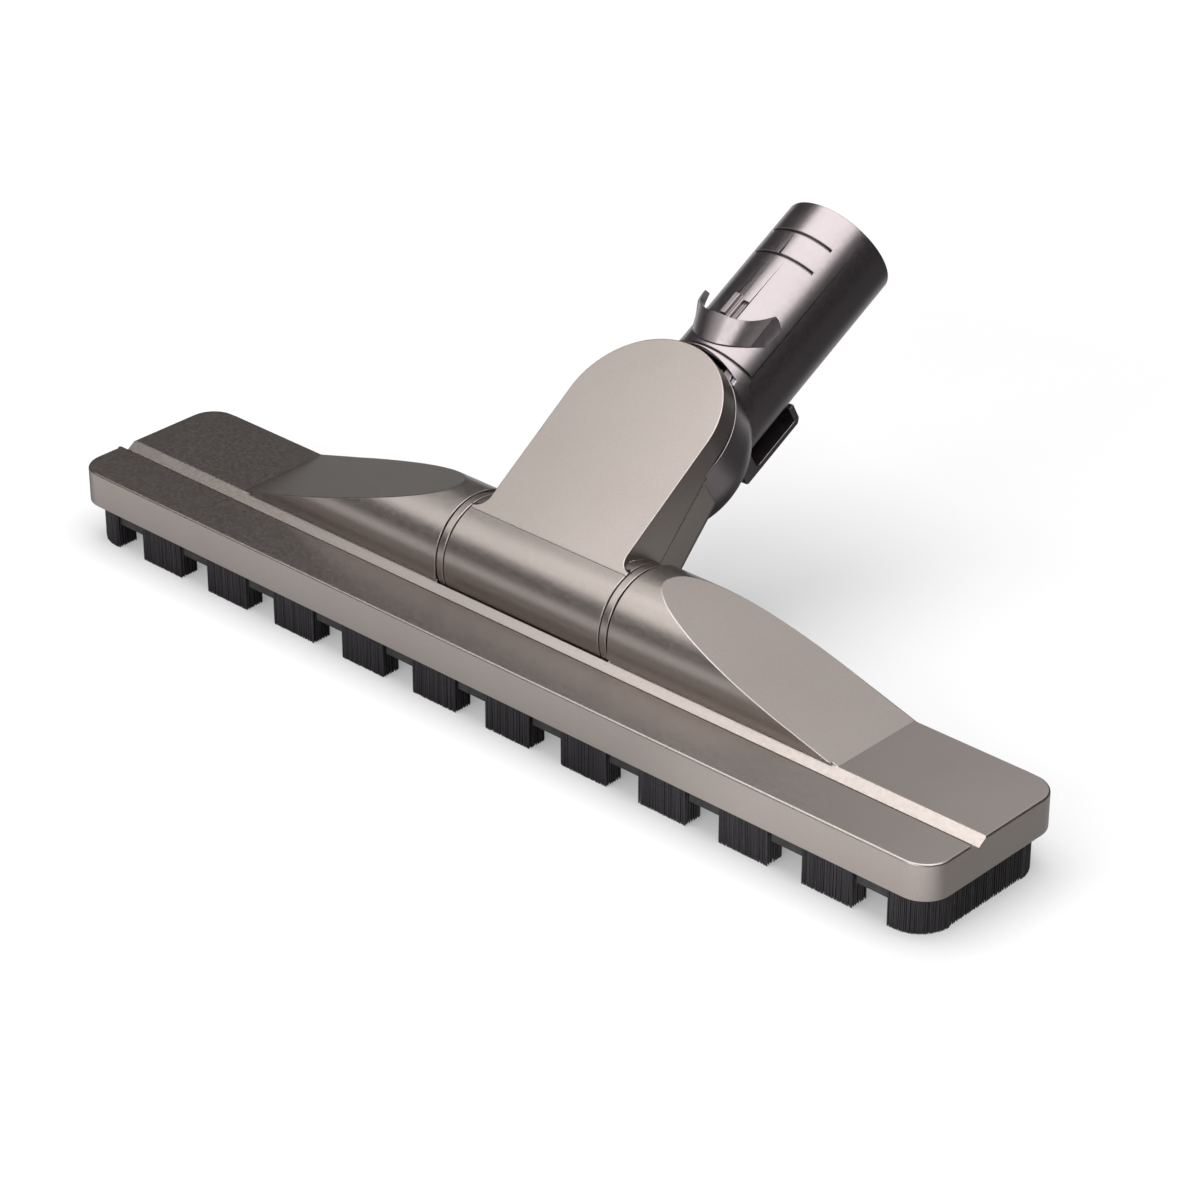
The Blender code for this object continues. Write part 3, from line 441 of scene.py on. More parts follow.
def softened(obj, width, segments=3, share=None):
    """Clean a cut mesh and round its edges by a width, or by a share of it that depends on the place."""
    bm = bmesh.new()
    bm.from_mesh(obj.data)
    bmesh.ops.remove_doubles(bm, verts=bm.verts, dist=MERGE)
    bmesh.ops.dissolve_degenerate(bm, edges=bm.edges, dist=MERGE)
    bmesh.ops.dissolve_limit(bm, angle_limit=math.radians(FLAT_DEG), verts=bm.verts, edges=bm.edges)
    bmesh.ops.recalc_face_normals(bm, faces=bm.faces)
    weights = bm.edges.layers.float.new("bevel_weight_edge")
    for edge in bm.edges:
        if len(edge.link_faces) == 2 and edge.calc_face_angle(0) > math.radians(SMOOTH_DEG):
            middle = (edge.verts[0].co + edge.verts[1].co) / 2
            edge[weights] = share(middle) if share else 1.0
    bm.to_mesh(obj.data)
    bm.free()
    obj.data.shade_smooth()
    obj.data.set_sharp_from_angle(angle=math.radians(SMOOTH_DEG))
    bevel = obj.modifiers.new("Bevel", "BEVEL")
    bevel.width = width
    bevel.segments = segments
    bevel.limit_method = "WEIGHT"
    bevel.use_clamp_overlap = False
    bevel.harden_normals = True
    return applied(obj)


def piece(obj, name, place, body, look):
    """Name a finished shape, put it in the row frame and let it ride on its body."""
    shader, slot = look
    moved(obj, place)
    obj.name = name
    obj.data.name = name
    obj.data.materials.clear()
    obj.data.materials.append(shader)
    BENCH.objects.unlink(obj)
    scene.collection.objects.link(obj)
    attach(obj, body)
    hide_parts(name.removesuffix("_shape"))


def turned_pair(profile, steps, width, segments, name, place, body, look):
    """A profile turned about X for the right-hand piece, and its mirror image for the left."""
    for side in ("right", "left"):
        half = turned(profile, "X", steps)
        if side == "left":
            half = mirrored(half)
        piece(softened(half, width, segments), "%s_%s_shape" % (name, side), place, body, look)


# ---------------------------------------------------------------- materials

class Graph:
    """A material's node graph around its Principled shader."""

    def __init__(self, name):
        self.material = bpy.data.materials.new(name)
        self.material.use_nodes = True
        self.tree = self.material.node_tree
        self.shader = self.tree.nodes["Principled BSDF"]
        self.place = self.node("ShaderNodeTexCoord").outputs["Object"]

    def node(self, kind, **values):
        made = self.tree.nodes.new(kind)
        for key, value in values.items():
            setattr(made, key, value)
        return made

    def link(self, output, target):
        self.tree.links.new(output, target)

    def constants(self, **values):
        for key, value in values.items():
            self.shader.inputs[key.replace("_", " ")].default_value = value

    def stretched(self, scale):
        mapping = self.node("ShaderNodeMapping")
        mapping.inputs["Scale"].default_value = scale
        self.link(self.place, mapping.inputs["Vector"])
        return mapping.outputs["Vector"]

    def noise(self, scale, detail=2.0, vector=None, rough=0.5):
        made = self.node("ShaderNodeTexNoise")
        made.inputs["Scale"].default_value = scale
        made.inputs["Detail"].default_value = detail
        made.inputs["Roughness"].default_value = rough
        self.link(vector or self.place, made.inputs["Vector"])
        return made.outputs["Fac"]

    def ramp(self, value, low, high, start=0.3, end=0.7):
        made = self.node("ShaderNodeValToRGB")
        made.color_ramp.elements[0].position = start
        made.color_ramp.elements[1].position = end
        made.color_ramp.elements[0].color = (*low, 1)
        made.color_ramp.elements[1].color = (*high, 1)
        self.link(value, made.inputs["Fac"])
        return made.outputs["Color"]

    def span(self, value, low, high, start=0.3, end=0.7):
        made = self.node("ShaderNodeMapRange")
        made.inputs["From Min"].default_value = start
        made.inputs["From Max"].default_value = end
        made.inputs["To Min"].default_value = low
        made.inputs["To Max"].default_value = high
        self.link(value, made.inputs["Value"])
        return made.outputs["Result"]

    def multiply(self, first, second, amount=1.0):
        made = self.node("ShaderNodeMix", data_type="RGBA", blend_type="MULTIPLY")
        made.inputs["Factor"].default_value = amount
        self.link(first, made.inputs["A"])
        self.link(second, made.inputs["B"])
        return made.outputs["Result"]

    def times_plus(self, first, second, extra):
        made = self.node("ShaderNodeMath", operation="MULTIPLY_ADD")
        for output, target in zip((first, second, extra), made.inputs):
            self.link(output, target)
        return made.outputs["Value"]

    def bump(self, height, strength, distance, after=None):
        made = self.node("ShaderNodeBump")
        made.inputs["Strength"].default_value = strength
        made.inputs["Distance"].default_value = distance
        self.link(height, made.inputs["Height"])
        if after is not None:
            self.link(after, made.inputs["Normal"])
        return made.outputs["Normal"]

    def finish(self, colour, rough, normal):
        self.link(colour, self.shader.inputs["Base Color"])
        self.link(rough, self.shader.inputs["Roughness"])
        self.link(normal, self.shader.inputs["Normal"])
        return self.material


def metallic_moulding(name, dark, light, rough, metallic, coat, grain):
    """Moulded plastic with a metal flake: faint clouds, fine sparkle and a slight orange peel."""
    g = Graph(name)
    clouds = g.ramp(g.noise(28, 4), dark, light)
    flakes = g.ramp(g.noise(5200, 1), (0.80, 0.80, 0.80), (1.0, 1.0, 1.0), 0.38, 0.60)
    colour = g.multiply(clouds, flakes, 0.55 * grain)
    roughness = g.span(g.noise(900, 3), rough - 0.03, rough + 0.04)
    peel = g.bump(g.noise(420, 2), 0.03 * grain, 0.00012)
    normal = g.bump(g.noise(5200, 1), 0.03 * grain, 0.00001, peel)
    g.constants(Metallic=metallic, Coat_Weight=coat, Coat_Roughness=0.22)
    return g.finish(colour, roughness, normal)


def black_moulding(name):
    """Black plastic with a spark-eroded texture."""
    g = Graph(name)
    colour = g.ramp(g.noise(350, 4), (0.012, 0.011, 0.012), (0.030, 0.028, 0.030))
    roughness = g.span(g.noise(1400, 3), 0.42, 0.62)
    normal = g.bump(g.noise(2600, 2, rough=0.7), 0.35, 0.00008)
    return g.finish(colour, roughness, normal)


def bristle_fibre(name):
    """Nylon fibres: each one a little lighter or darker, running up and down."""
    g = Graph(name)
    streaks = g.noise(1.0, 2, g.stretched((1500, 1500, 25)))
    colour = g.ramp(streaks, (0.008, 0.006, 0.008), (0.030, 0.025, 0.030), 0.35, 0.75)
    roughness = g.span(g.noise(600, 2), 0.38, 0.60)
    normal = g.bump(g.noise(1.0, 2, g.stretched((6000, 6000, 300))), 0.2, 0.00003)
    return g.finish(colour, roughness, normal)


def felt_cloth(name):
    g = Graph(name)
    colour = g.ramp(g.noise(1800, 5, rough=0.7), (0.020, 0.020, 0.022), (0.085, 0.083, 0.088))
    roughness = g.span(g.noise(700, 3), 0.85, 1.0)
    normal = g.bump(g.noise(3500, 5, rough=0.75), 0.8, 0.0002)
    g.constants(Sheen_Weight=0.5, Sheen_Roughness=0.6)
    return g.finish(colour, roughness, normal)


def natural_acetal(name):
    g = Graph(name)
    colour = g.ramp(g.noise(120, 3), (0.62, 0.61, 0.57), (0.74, 0.73, 0.69))
    roughness = g.span(g.noise(900, 3), 0.34, 0.46)
    normal = g.bump(g.noise(1500, 2), 0.08, 0.00005)
    g.constants(Subsurface_Weight=0.1, Subsurface_Scale=0.002)
    return g.finish(colour, roughness, normal)


def plated_steel(name):
    g = Graph(name)
    colour = g.ramp(g.noise(500, 4), (0.42, 0.42, 0.43), (0.62, 0.62, 0.61))
    roughness = g.span(g.noise(2200, 3), 0.22, 0.38)
    normal = g.bump(g.noise(1.0, 3, g.stretched((400, 6000, 6000))), 0.15, 0.00002)
    g.constants(Metallic=1.0)
    return g.finish(colour, roughness, normal)


# The floor's light: (glow at the start, glow at the end, start, end), along Y, X or the distance in metres
GLOW_FRONT_Y = (0.84, 0.0, -0.105, -0.065)
GLOW_BACK_Y = (0.0, 0.75, 0.05, 0.12)
GLOW_LEFT_X = (1.0, 0.0, -0.06, 0.05)
GLOW_RIGHT_X = (0.0, 0.34, 0.04, 0.08)
GLOW_NEAR_Y = (1.0, 0.0, 0.06, 0.09)
GLOW_SEEN = (0.30, 0.95, 0.22, 1.2)
# Painted shade: the share of the floor's colour that reflections and bounced light see
PAINTED_SHADE_UNSEEN = 0.13


def bare_floor(name):
    """White table that glows. The camera sees a glow that grows with the distance from the tool.

    Reflections and bounced light see a darker table with painted pools of light in front of the tool and
    behind it at the left, a weaker one at its right, and painted shade of the tool's shadow close to the
    tool.
    """
    g = Graph(name)
    path = g.node("ShaderNodeLightPath")
    seen = path.outputs["Is Camera Ray"]
    # Painted shade: all but camera rays see the floor's colour cut to a small share of itself, a darker
    # table
    colour_with_painted_shade = g.node("ShaderNodeVectorMath", operation="SCALE")
    g.link(g.ramp(g.noise(3, 3), (0.555, 0.550, 0.558), (0.575, 0.570, 0.578)), colour_with_painted_shade.inputs["Vector"])
    g.link(g.span(seen, PAINTED_SHADE_UNSEEN, 1.0, 0.0, 1.0), colour_with_painted_shade.inputs["Scale"])
    colour = colour_with_painted_shade.outputs["Vector"]
    roughness = g.span(g.noise(12, 3), 0.85, 0.95)
    normal = g.bump(g.noise(60, 3), 0.02, 0.0005)
    place = g.node("ShaderNodeSeparateXYZ")
    g.link(g.place, place.inputs["Vector"])
    front = g.span(place.outputs["Y"], *GLOW_FRONT_Y)
    back = g.span(place.outputs["Y"], *GLOW_BACK_Y)
    left = g.span(place.outputs["X"], *GLOW_LEFT_X)
    right = g.span(place.outputs["X"], *GLOW_RIGHT_X)
    near = g.span(place.outputs["Y"], *GLOW_NEAR_Y)
    # Painted light and shade for reflections and bounced light: pools of glow in front of the tool, behind
    # it at the left and at its right, and little or no glow close to the tool, which stands in for its
    # shadow on the table
    glow = g.times_plus(back, left, g.times_plus(right, near, front))
    choose = g.node("ShaderNodeMix", data_type="FLOAT")
    g.link(seen, choose.inputs["Factor"])
    distance = g.node("ShaderNodeVectorMath", operation="LENGTH")
    g.link(g.place, distance.inputs["Vector"])
    g.link(g.span(distance.outputs["Value"], *GLOW_SEEN), choose.inputs["B"])
    g.link(glow, choose.inputs["A"])
    g.link(choose.outputs["Result"], g.shader.inputs["Emission Strength"])
    g.constants(Specular_IOR_Level=0.1, Emission_Color=(1, 1, 1, 1))
    return g.finish(colour, roughness, normal)


TITANIUM = (metallic_moulding("titanium_plastic", (0.365, 0.322, 0.298), (0.395, 0.350, 0.325),
                              0.33, 0.97, 0.06, 1.0), "titanium_plastic")
PURPLE_GREY = (metallic_moulding("spigot_plastic", (0.272, 0.240, 0.246), (0.292, 0.258, 0.264),
                                 0.31, 0.97, 0.08, 0.12), "spigot_plastic")
BLACK_PLASTIC = (black_moulding("black_plastic"), "black_plastic")
BRISTLE = (bristle_fibre("bristle"), "bristle")
FELT = (felt_cloth("felt"), "felt")
ACETAL = (natural_acetal("bearing_plastic"), "bearing_plastic")
STEEL = (plated_steel("screw_steel"), "screw_steel")

# ---------------------------------------------------------------- head


def cheek_profile(inset, foot, steps):
    """Section of a cheek: upright walls, round front shoulder and a fuller rear one."""
    radius = BARREL_RADIUS - inset
    reach = HEAD_DEPTH / 2 - inset - BARREL_Y
    rear = []
    for i in range(steps):
        angle = math.radians(90 * i / steps)
        rear.append((BARREL_Y + reach * math.cos(angle) ** (2 / CROWN_POWER),
                     BARREL_Z + radius * math.sin(angle) ** (2 / CROWN_POWER)))
    front = arc(BARREL_Y, BARREL_Z, radius, 90, 180, steps)
    return [(BARREL_Y + reach, foot)] + rear + front + [(BARREL_Y - radius, foot)]


def wing_cutter(side, drop):
    """Everything above one wing's sloping face, lowered by drop."""
    rise = (WING_FOOT - SLOT_HALF) * math.tan(math.radians(WING_SLOPE_DEG))
    outline = [(side * WING_FOOT, DECK_Z - drop), (side * HEAD_LENGTH, DECK_Z - drop),
               (side * HEAD_LENGTH, 2 * FAR), (side * SLOT_HALF, 2 * FAR),
               (side * SLOT_HALF, DECK_Z - drop + rise)]
    return prism(outline, -FAR, FAR, plane="XZ")


def barrel_space(radius, half):
    return cylinder(radius, -half, half, "X", (0, BARREL_Y, BARREL_Z))


def housing_edge(middle):
    """Wide rounding on the deck's rim, a bare crease at the wings' feet, fine rounding elsewhere."""
    x, y, z = middle
    outside = abs(x) > HEAD_LENGTH / 2 - HEAD_CORNER or abs(y) > HEAD_DEPTH / 2 - 0.0001
    if outside and abs(z - DECK_Z) < 0.0001:
        return 1.0
    if abs(abs(x) - WING_FOOT) < 0.0005 and z < DECK_Z + 0.0002:
        return 0.0
    return 0.35


def upper_housing():
    body = rounded_slab(HEAD_LENGTH / 2, HEAD_DEPTH / 2, HEAD_CORNER, BRISTLE_HEIGHT, DECK_Z)
    cheeks = prism(cheek_profile(0, CHEEK_FOOT, 40), -WING_FOOT - WING_RUN_OUT, WING_FOOT + WING_RUN_OUT)
    cut(cheeks, wing_cutter(-1, 0), wing_cutter(1, 0))
    join(body, cheeks)
    groove = [(GROOVE_FRONT_Y, DECK_Z + GROOVE_OVER), (GROOVE_FRONT_Y, DECK_Z - GROOVE_LIP),
              (GROOVE_BOTTOM_Y, DECK_Z - GROOVE_DEPTH), (GROOVE_BACK_Y, DECK_Z),
              (GROOVE_BACK_Y, DECK_Z + GROOVE_OVER)]
    cut(body, prism(groove, -HEAD_LENGTH, HEAD_LENGTH))
    cut(body, rounded_slab(HEAD_LENGTH / 2 - WALL, HEAD_DEPTH / 2 - WALL, HEAD_CORNER - WALL,
                           BRISTLE_HEIGHT - OVER, DECK_Z - WALL - DECK_EXTRA))
    for side in (-1, 1):
        hollow = prism(cheek_profile(WALL, BRISTLE_HEIGHT - OVER, 14),
                       *sorted((side * (SLOT_HALF + WALL), side * WING_FOOT)))
        cut(hollow, wing_cutter(side, WALL))
        cut(body, hollow)
    cut(body, box((-SLOT_HALF, GROOVE_BACK_Y - OVER, DECK_Z + GROOVE_LIP),
                  (SLOT_HALF, BEHIND_HEAD, ABOVE_BARREL)))
    cut(body, barrel_space(SLOT_RADIUS, SLOT_HALF))
    cut(body, cylinder(BEARING_RADIUS, -FAR / 2, FAR / 2, "X", (0, BARREL_Y, BARREL_Z), BUSH_ROUND))
    softened(body, EDGE_ROUND, 4, share=housing_edge)
    piece(body, "upper_housing_shape", HEAD, "head", TITANIUM)


def sole_plate():
    plate = rounded_slab(HEAD_LENGTH / 2 - SOLE_INSET, HEAD_DEPTH / 2 - SOLE_INSET, HEAD_CORNER - SOLE_INSET,
                         BRISTLE_HEIGHT, BRISTLE_HEIGHT + SOLE_THICKNESS)
    mouth = rounded_slab(MOUTH_HALF_X, MOUTH_HALF_Y, MOUTH_CORNER, 0, FAR / 2, steps=12)
    moved(mouth, Matrix.Translation((0, BARREL_Y - MOUTH_SHIFT, 0)))
    cut(plate, mouth, barrel_space(SLOT_RADIUS, SLOT_HALF))
    for x, y in SCREW_SPOTS:
        cut(plate, cylinder(HOLE_RADIUS, 0, FAR / 2, "Z", (x, y, 0), SMALL))
    softened(plate, MOULDED_EDGE, 2)
    piece(plate, "sole_plate_shape", HEAD, "head", BLACK_PLASTIC)


def screw_with_recess(profile, head_z, place, name, body):
    """Turned screw with a cross recess in its head."""
    obj = turned(profile, steps=SMALL)
    for half_x, half_y in ((RECESS_REACH, RECESS_HALF), (RECESS_HALF, RECESS_REACH)):
        cut(obj, box((-half_x, -half_y, head_z - OVER), (half_x, half_y, head_z + RECESS_DEPTH)))
    softened(obj, SCREW_EDGE, 2)
    piece(obj, name, place, body, STEEL)


def sole_screws():
    seat = SCREW_HEAD_Z + SCREW_HEAD_HEIGHT
    profile = [(0, SCREW_HEAD_Z), (SCREW_HEAD_RADIUS * 0.72, SCREW_HEAD_Z),
               (SCREW_HEAD_RADIUS * 0.92, SCREW_HEAD_Z + 0.0004), (SCREW_HEAD_RADIUS, SCREW_HEAD_Z + 0.0010),
               (SCREW_HEAD_RADIUS, seat), (SHANK_RADIUS, seat), (SHANK_RADIUS, SCREW_TOP - SCREW_TIP),
               (0, SCREW_TOP)]
    for number, (x, y) in enumerate(SCREW_SPOTS, start=1):
        place = HEAD @ Matrix.Translation((x, y, 0))
        screw_with_recess(profile, SCREW_HEAD_Z, place, "sole_screw_%d_shape" % number, "head")


def block_centres():
    """X of each front bristle block, from left to right."""
    return [(index - (BLOCK_COUNT - 1) / 2) * BLOCK_PITCH for index in range(BLOCK_COUNT)]


def brush_frame():
    body = rounded_slab(CORNER_START_X - GAP, TUFT_FRONT_Y - FRAME_INSET, FRAME_EDGE,
                        BRISTLE_HEIGHT - FRAME_HEIGHT, TUFT_TOP, steps=2)
    field = TUFT_INNER_Y - FRAME_WALL
    cut(body, box((-FRAME_FIELD_HALF, -field, 0), (FRAME_FIELD_HALF, field, FAR / 2)))
    cut(body, box((-2 * FAR, TUFT_INNER_Y - GAP, 0), (2 * FAR, FAR / 2, FAR / 2)))
    half = BLOCK_WIDTH / 2 + GAP
    for centre in block_centres():
        cut(body, box((centre - half, -FAR / 2, 0), (centre + half, -TUFT_INNER_Y + GAP, FAR / 2)))
    softened(body, FRAME_EDGE, 2)
    piece(body, "brush_frame_shape", HEAD, "head", BLACK_PLASTIC)


def fibres(name, spots, seed):
    """Close-set nylon fibres, each a tapering five-sided stem with its own height and lean."""
    rng = random.Random(seed)
    verts = []
    faces = []
    for x, y in spots:
        x += rng.uniform(-FIBRE_JITTER, FIBRE_JITTER)
        y += rng.uniform(-FIBRE_JITTER, FIBRE_JITTER)
        foot = abs(rng.gauss(0, FIBRE_SPREAD))
        lean = Vector((rng.gauss(0, FIBRE_SPREAD), rng.gauss(0, FIBRE_SPREAD)))
        turn = rng.uniform(0, 2 * math.pi)
        base = len(verts)
        for level, scale, share in ((foot, 0.62, 1.0), (foot + FIBRE_TIP, 0.95, 0.9), (TUFT_TOP, 1.0, 0.0)):
            for k in range(FIBRE_SIDES):
                angle = turn + 2 * math.pi * k / FIBRE_SIDES
                verts.append((x + lean.x * share + FIBRE_RADIUS * scale * math.cos(angle),
                              y + lean.y * share + FIBRE_RADIUS * scale * math.sin(angle), level))
        waist = base + FIBRE_SIDES
        root = waist + FIBRE_SIDES
        for k in range(FIBRE_SIDES):
            n = (k + 1) % FIBRE_SIDES
            faces.append((base + k, base + n, waist + n, waist + k))
            faces.append((waist + k, waist + n, root + n, root + k))
        faces.append(tuple(base + k for k in reversed(range(FIBRE_SIDES))))
        faces.append(tuple(root + k for k in range(FIBRE_SIDES)))
    mesh = bpy.data.meshes.new(name)
    mesh.from_pydata(verts, [], faces)
    mesh.shade_smooth()
    mesh.set_sharp_from_angle(angle=math.radians(FIBRE_SMOOTH_DEG))
    obj = bpy.data.objects.new(name, mesh)
    BENCH.objects.link(obj)
    piece(obj, name, HEAD, "head", BRISTLE)


def grid(low_x, high_x, low_y, high_y):
    """Staggered rows of points that fill a rectangle, kept a fibre's radius inside it."""
    columns = int((high_x - low_x - 2 * FIBRE_MARGIN) / FIBRE_PITCH)
    rows = int((high_y - low_y - 2 * FIBRE_MARGIN) / (FIBRE_PITCH * ROW_SHARE))
    spots = []
    for row in range(rows + 1):
        y = low_y + FIBRE_MARGIN + (high_y - low_y - 2 * FIBRE_MARGIN) * row / rows
        shift = 0.5 * (row % 2)
        for column in range(columns + 1 - row % 2):
            spots.append((low_x + FIBRE_MARGIN + (column + shift) * FIBRE_PITCH, y))
    return spots


def bristles():
    for index, centre in enumerate(block_centres()):
        spots = grid(centre - BLOCK_WIDTH / 2, centre + BLOCK_WIDTH / 2,
                     -TUFT_FRONT_Y, -TUFT_FRONT_Y + TUFT_DEPTH)
        fibres("bristle_block_%02d_shape" % (index + 1), spots, 100 + index)
    reach = TUFT_CORNER - FIBRE_MARGIN
    for side, name in ((-1, "bristle_end_left_shape"), (1, "bristle_end_right_shape")):
        spots = []
        for x, y in grid(CORNER_START_X, TUFT_END_X, -TUFT_FRONT_Y, TUFT_FRONT_Y):
            if x < TUFT_INNER_X and abs(y) < TUFT_INNER_Y:
                continue
            across = x - (TUFT_END_X - TUFT_CORNER)
            along = abs(y) - (TUFT_FRONT_Y - TUFT_CORNER)
            if across > 0 and along > 0 and math.hypot(across, along) > reach:
                continue
            spots.append((side * x, y))
        for i in range(CORNER_FIBRES):
            angle = math.pi / 2 * (i + 0.5) / CORNER_FIBRES
            for sign in (-1, 1):
                spots.append((side * (TUFT_END_X - TUFT_CORNER + reach * math.cos(angle)),
                              sign * (TUFT_FRONT_Y - TUFT_CORNER + reach * math.sin(angle))))
        fibres(name, spots, 200 + side)
    half = CORNER_START_X - GAP
    fibres("bristle_rear_shape", grid(-half, half, TUFT_INNER_Y, TUFT_FRONT_Y), 300)


def pivot_bushes():
    bore = TRUNNION_RADIUS + BUSH_CLEARANCE
    low = SLOT_HALF + BUSH_RECESS
    flange = SLOT_HALF + WALL + BUSH_FLANGE_GAP
    profile = [(bore, BUSH_END), (BUSH_FLANGE_RADIUS, BUSH_END), (BUSH_FLANGE_RADIUS, flange),
               (BUSH_RADIUS, flange), (BUSH_RADIUS, low), (bore, low)]
    turned_pair(profile, BUSH_ROUND, RING_EDGE, 2, "pivot_bush", BARREL, "head", ACETAL)


def barrel_seal():
    body = box((-SEAL_HALF, BARREL_Y - SEAL_FRONT, SEAL_LOW), (SEAL_HALF, BARREL_Y - SEAL_BACK, SEAL_HIGH))
    cut(body, barrel_space(BARREL_RADIUS + SEAL_CLEARANCE, SLOT_HALF))
    piece(softened(body, MOULDED_EDGE), "barrel_seal_front_shape", HEAD, "head", FELT)


# ---------------------------------------------------------------- neck

def tongue_outline(half):
    foot = -TONGUE_LENGTH + FLARE_FOOT
    right = [(BARREL_HALF, -TONGUE_LENGTH - TONGUE_OVERLAP), (BARREL_HALF, foot)]
    reach = BARREL_HALF - half
    for i in range(1, FLARE_STEPS + 1):
        angle = math.radians(90 * i / FLARE_STEPS)
        right.append((half + reach * (1 - math.sin(angle)), foot + FLARE_LENGTH * (1 - math.cos(angle))))
    left = [(-x, y) for x, y in reversed(right)]
    return right + arc(0, 0, half, 0, 180, 96) + left


def tongue_prism(half, top, bottom):
    """The tongue's outline between two heights, wider below by its draft."""
    sections = []
    for height in (top, bottom):
        wider = half - height * math.tan(math.radians(TONGUE_DRAFT_DEG))
        sections.append([(x, y, height) for x, y in tongue_outline(wider)])
    return moved(loft(sections), SWIVEL)


def seam_line(drop):
    """Parting line of the two shells in the neck's YZ plane, lowered by drop."""
    knee = SWIVEL @ Vector((0, 0, -CAP_HEIGHT))
    far = SWIVEL @ Vector((0, FAR / 2, -CAP_HEIGHT))
    slope = knee.z / knee.y
    return [(-FAR / 2, -FAR / 2 * slope - drop), (knee.y, knee.z - drop), (far.y, far.z - drop)]


def beyond_seam(height, drop=0.0):
    """Everything between the parting line and a height above or below it."""
    line = seam_line(drop)
    return prism(line + [(line[-1][0], height), (line[0][0], height)], -FAR, FAR)


def inlet_wedge():
    """Where the barrel's underside is open for the air."""
    rim = arc(0, 0, INLET_REACH, INLET_FROM_DEG, INLET_TO_DEG, 6)
    return prism([(0, 0)] + rim, -BARREL_HALF + WALL, BARREL_HALF - WALL)


def swivel_cylinder(radius, low, high):
    return moved(cylinder(radius, low, high), SWIVEL)


def neck_bore():
    return cylinder(BARREL_RADIUS - WALL, -BARREL_HALF + WALL, BARREL_HALF - WALL, "X")


def neck_upper_shell():
    body = cylinder(BARREL_RADIUS, -BARREL_HALF, BARREL_HALF, "X")
    join(body, tongue_prism(TONGUE_HALF, 0, -TONGUE_DEPTH))
    cut(body, beyond_seam(-FAR), neck_bore())
    duct = tongue_prism(TONGUE_HALF - WALL, -WALL, -DUCT_DEPTH)
    cut(duct, box((-FAR, -FAR, -FAR), (FAR, DUCT_FRONT, FAR)))
    cut(duct, box((-FAR, -FAR, -FAR), (-TONGUE_HALF + WALL, DUCT_WIDE_FROM, FAR)))
    cut(duct, box((TONGUE_HALF - WALL, -FAR, -FAR), (FAR, DUCT_WIDE_FROM, FAR)))
    cut(body, duct, inlet_wedge())
    cut(body, swivel_cylinder(DRUM_RADIUS + DRUM_CLEARANCE, -DRUM_FAR, DRUM_TOP + GAP))
    softened(body, SHELL_EDGE)
    piece(body, "neck_upper_shell_shape", NECK, "neck", TITANIUM)


def lower_block(half, inset, corner):
    """Block under the tongue with its two long lower edges rounded; inset makes the duct inside it."""
    (y0, z0), (y1, z1) = LOWER_BOTTOM
    end = SWIVEL @ Vector((0, LOWER_END_S, -CAP_HEIGHT))
    slope = (z1 - z0) / (y1 - y0)
    foot_y = end.y + math.sin(math.radians(TONGUE_TILT_DEG)) * LOWER_RUN
    foot_z = z0 + (foot_y - y0) * slope + inset
    outline = [(0.0, z0), (y0 - LOWER_FOOT_STEP, z0 + inset), (foot_y, foot_z), (end.y, end.z + 0.01),
               (0.0, LOWER_RUN)]
    solid = prism(outline, -half, half)
    bm = bmesh.new()
    bm.from_mesh(solid.data)
    bpy.data.objects.remove(solid, do_unlink=True)
    low_edges = []
    for edge in bm.edges:
        middle = (edge.verts[0].co + edge.verts[1].co) / 2
        along = abs((edge.verts[0].co - edge.verts[1].co).x) < TINY
        expected = z0 + (middle.y - y0) * slope + inset
        if along and abs(middle.z - expected) < 0.0008 and edge.calc_length() > 0.01:
            low_edges.append(edge)
    bmesh.ops.bevel(bm, geom=low_edges, offset=corner, segments=14, affect="EDGES", profile=0.5)
    return object_from_bmesh("lower_block", bm)


def neck_lower_shell():
    body = lower_block(LOWER_HALF, 0.0, LOWER_CORNER)
    join(body, cylinder(BARREL_RADIUS, -BARREL_HALF, BARREL_HALF, "X"))
    cut(body, beyond_seam(FAR, GAP))
    cut(body, swivel_cylinder(DRUM_RADIUS + DRUM_CLEARANCE, -DRUM_FAR, 0.02), neck_bore())
    duct = lower_block(LOWER_HALF - WALL, WALL, LOWER_CORNER - WALL / 2)
    cut(duct, swivel_cylinder(DRUM_RADIUS + DRUM_CLEARANCE + WALL, -DRUM_FAR, 0.02))
    cut(body, duct, inlet_wedge())
    for side in (-1, 1):
        spot = (side * NECK_SCREW_X, NECK_SCREW_S, 0)
        counterbore = cylinder(NECK_COUNTERBORE, -FAR / 2, NECK_COUNTERBORE_TOP, "Z", spot, SMALL)
        cut(body, moved(counterbore, SWIVEL))
    softened(body, NECK_EDGE)
    piece(body, "neck_lower_shell_shape", NECK, "neck", TITANIUM)


def trunnions():
    profile = [(0, RING_INNER), (BARREL_RADIUS, RING_INNER), (BARREL_RADIUS, RING_OUTER),
               (TRUNNION_RADIUS, RING_OUTER), (TRUNNION_RADIUS, TRUNNION_END), (0, TRUNNION_END)]
    turned_pair(profile, ROUND, NECK_EDGE, 3, "trunnion", NECK, "neck", TITANIUM)


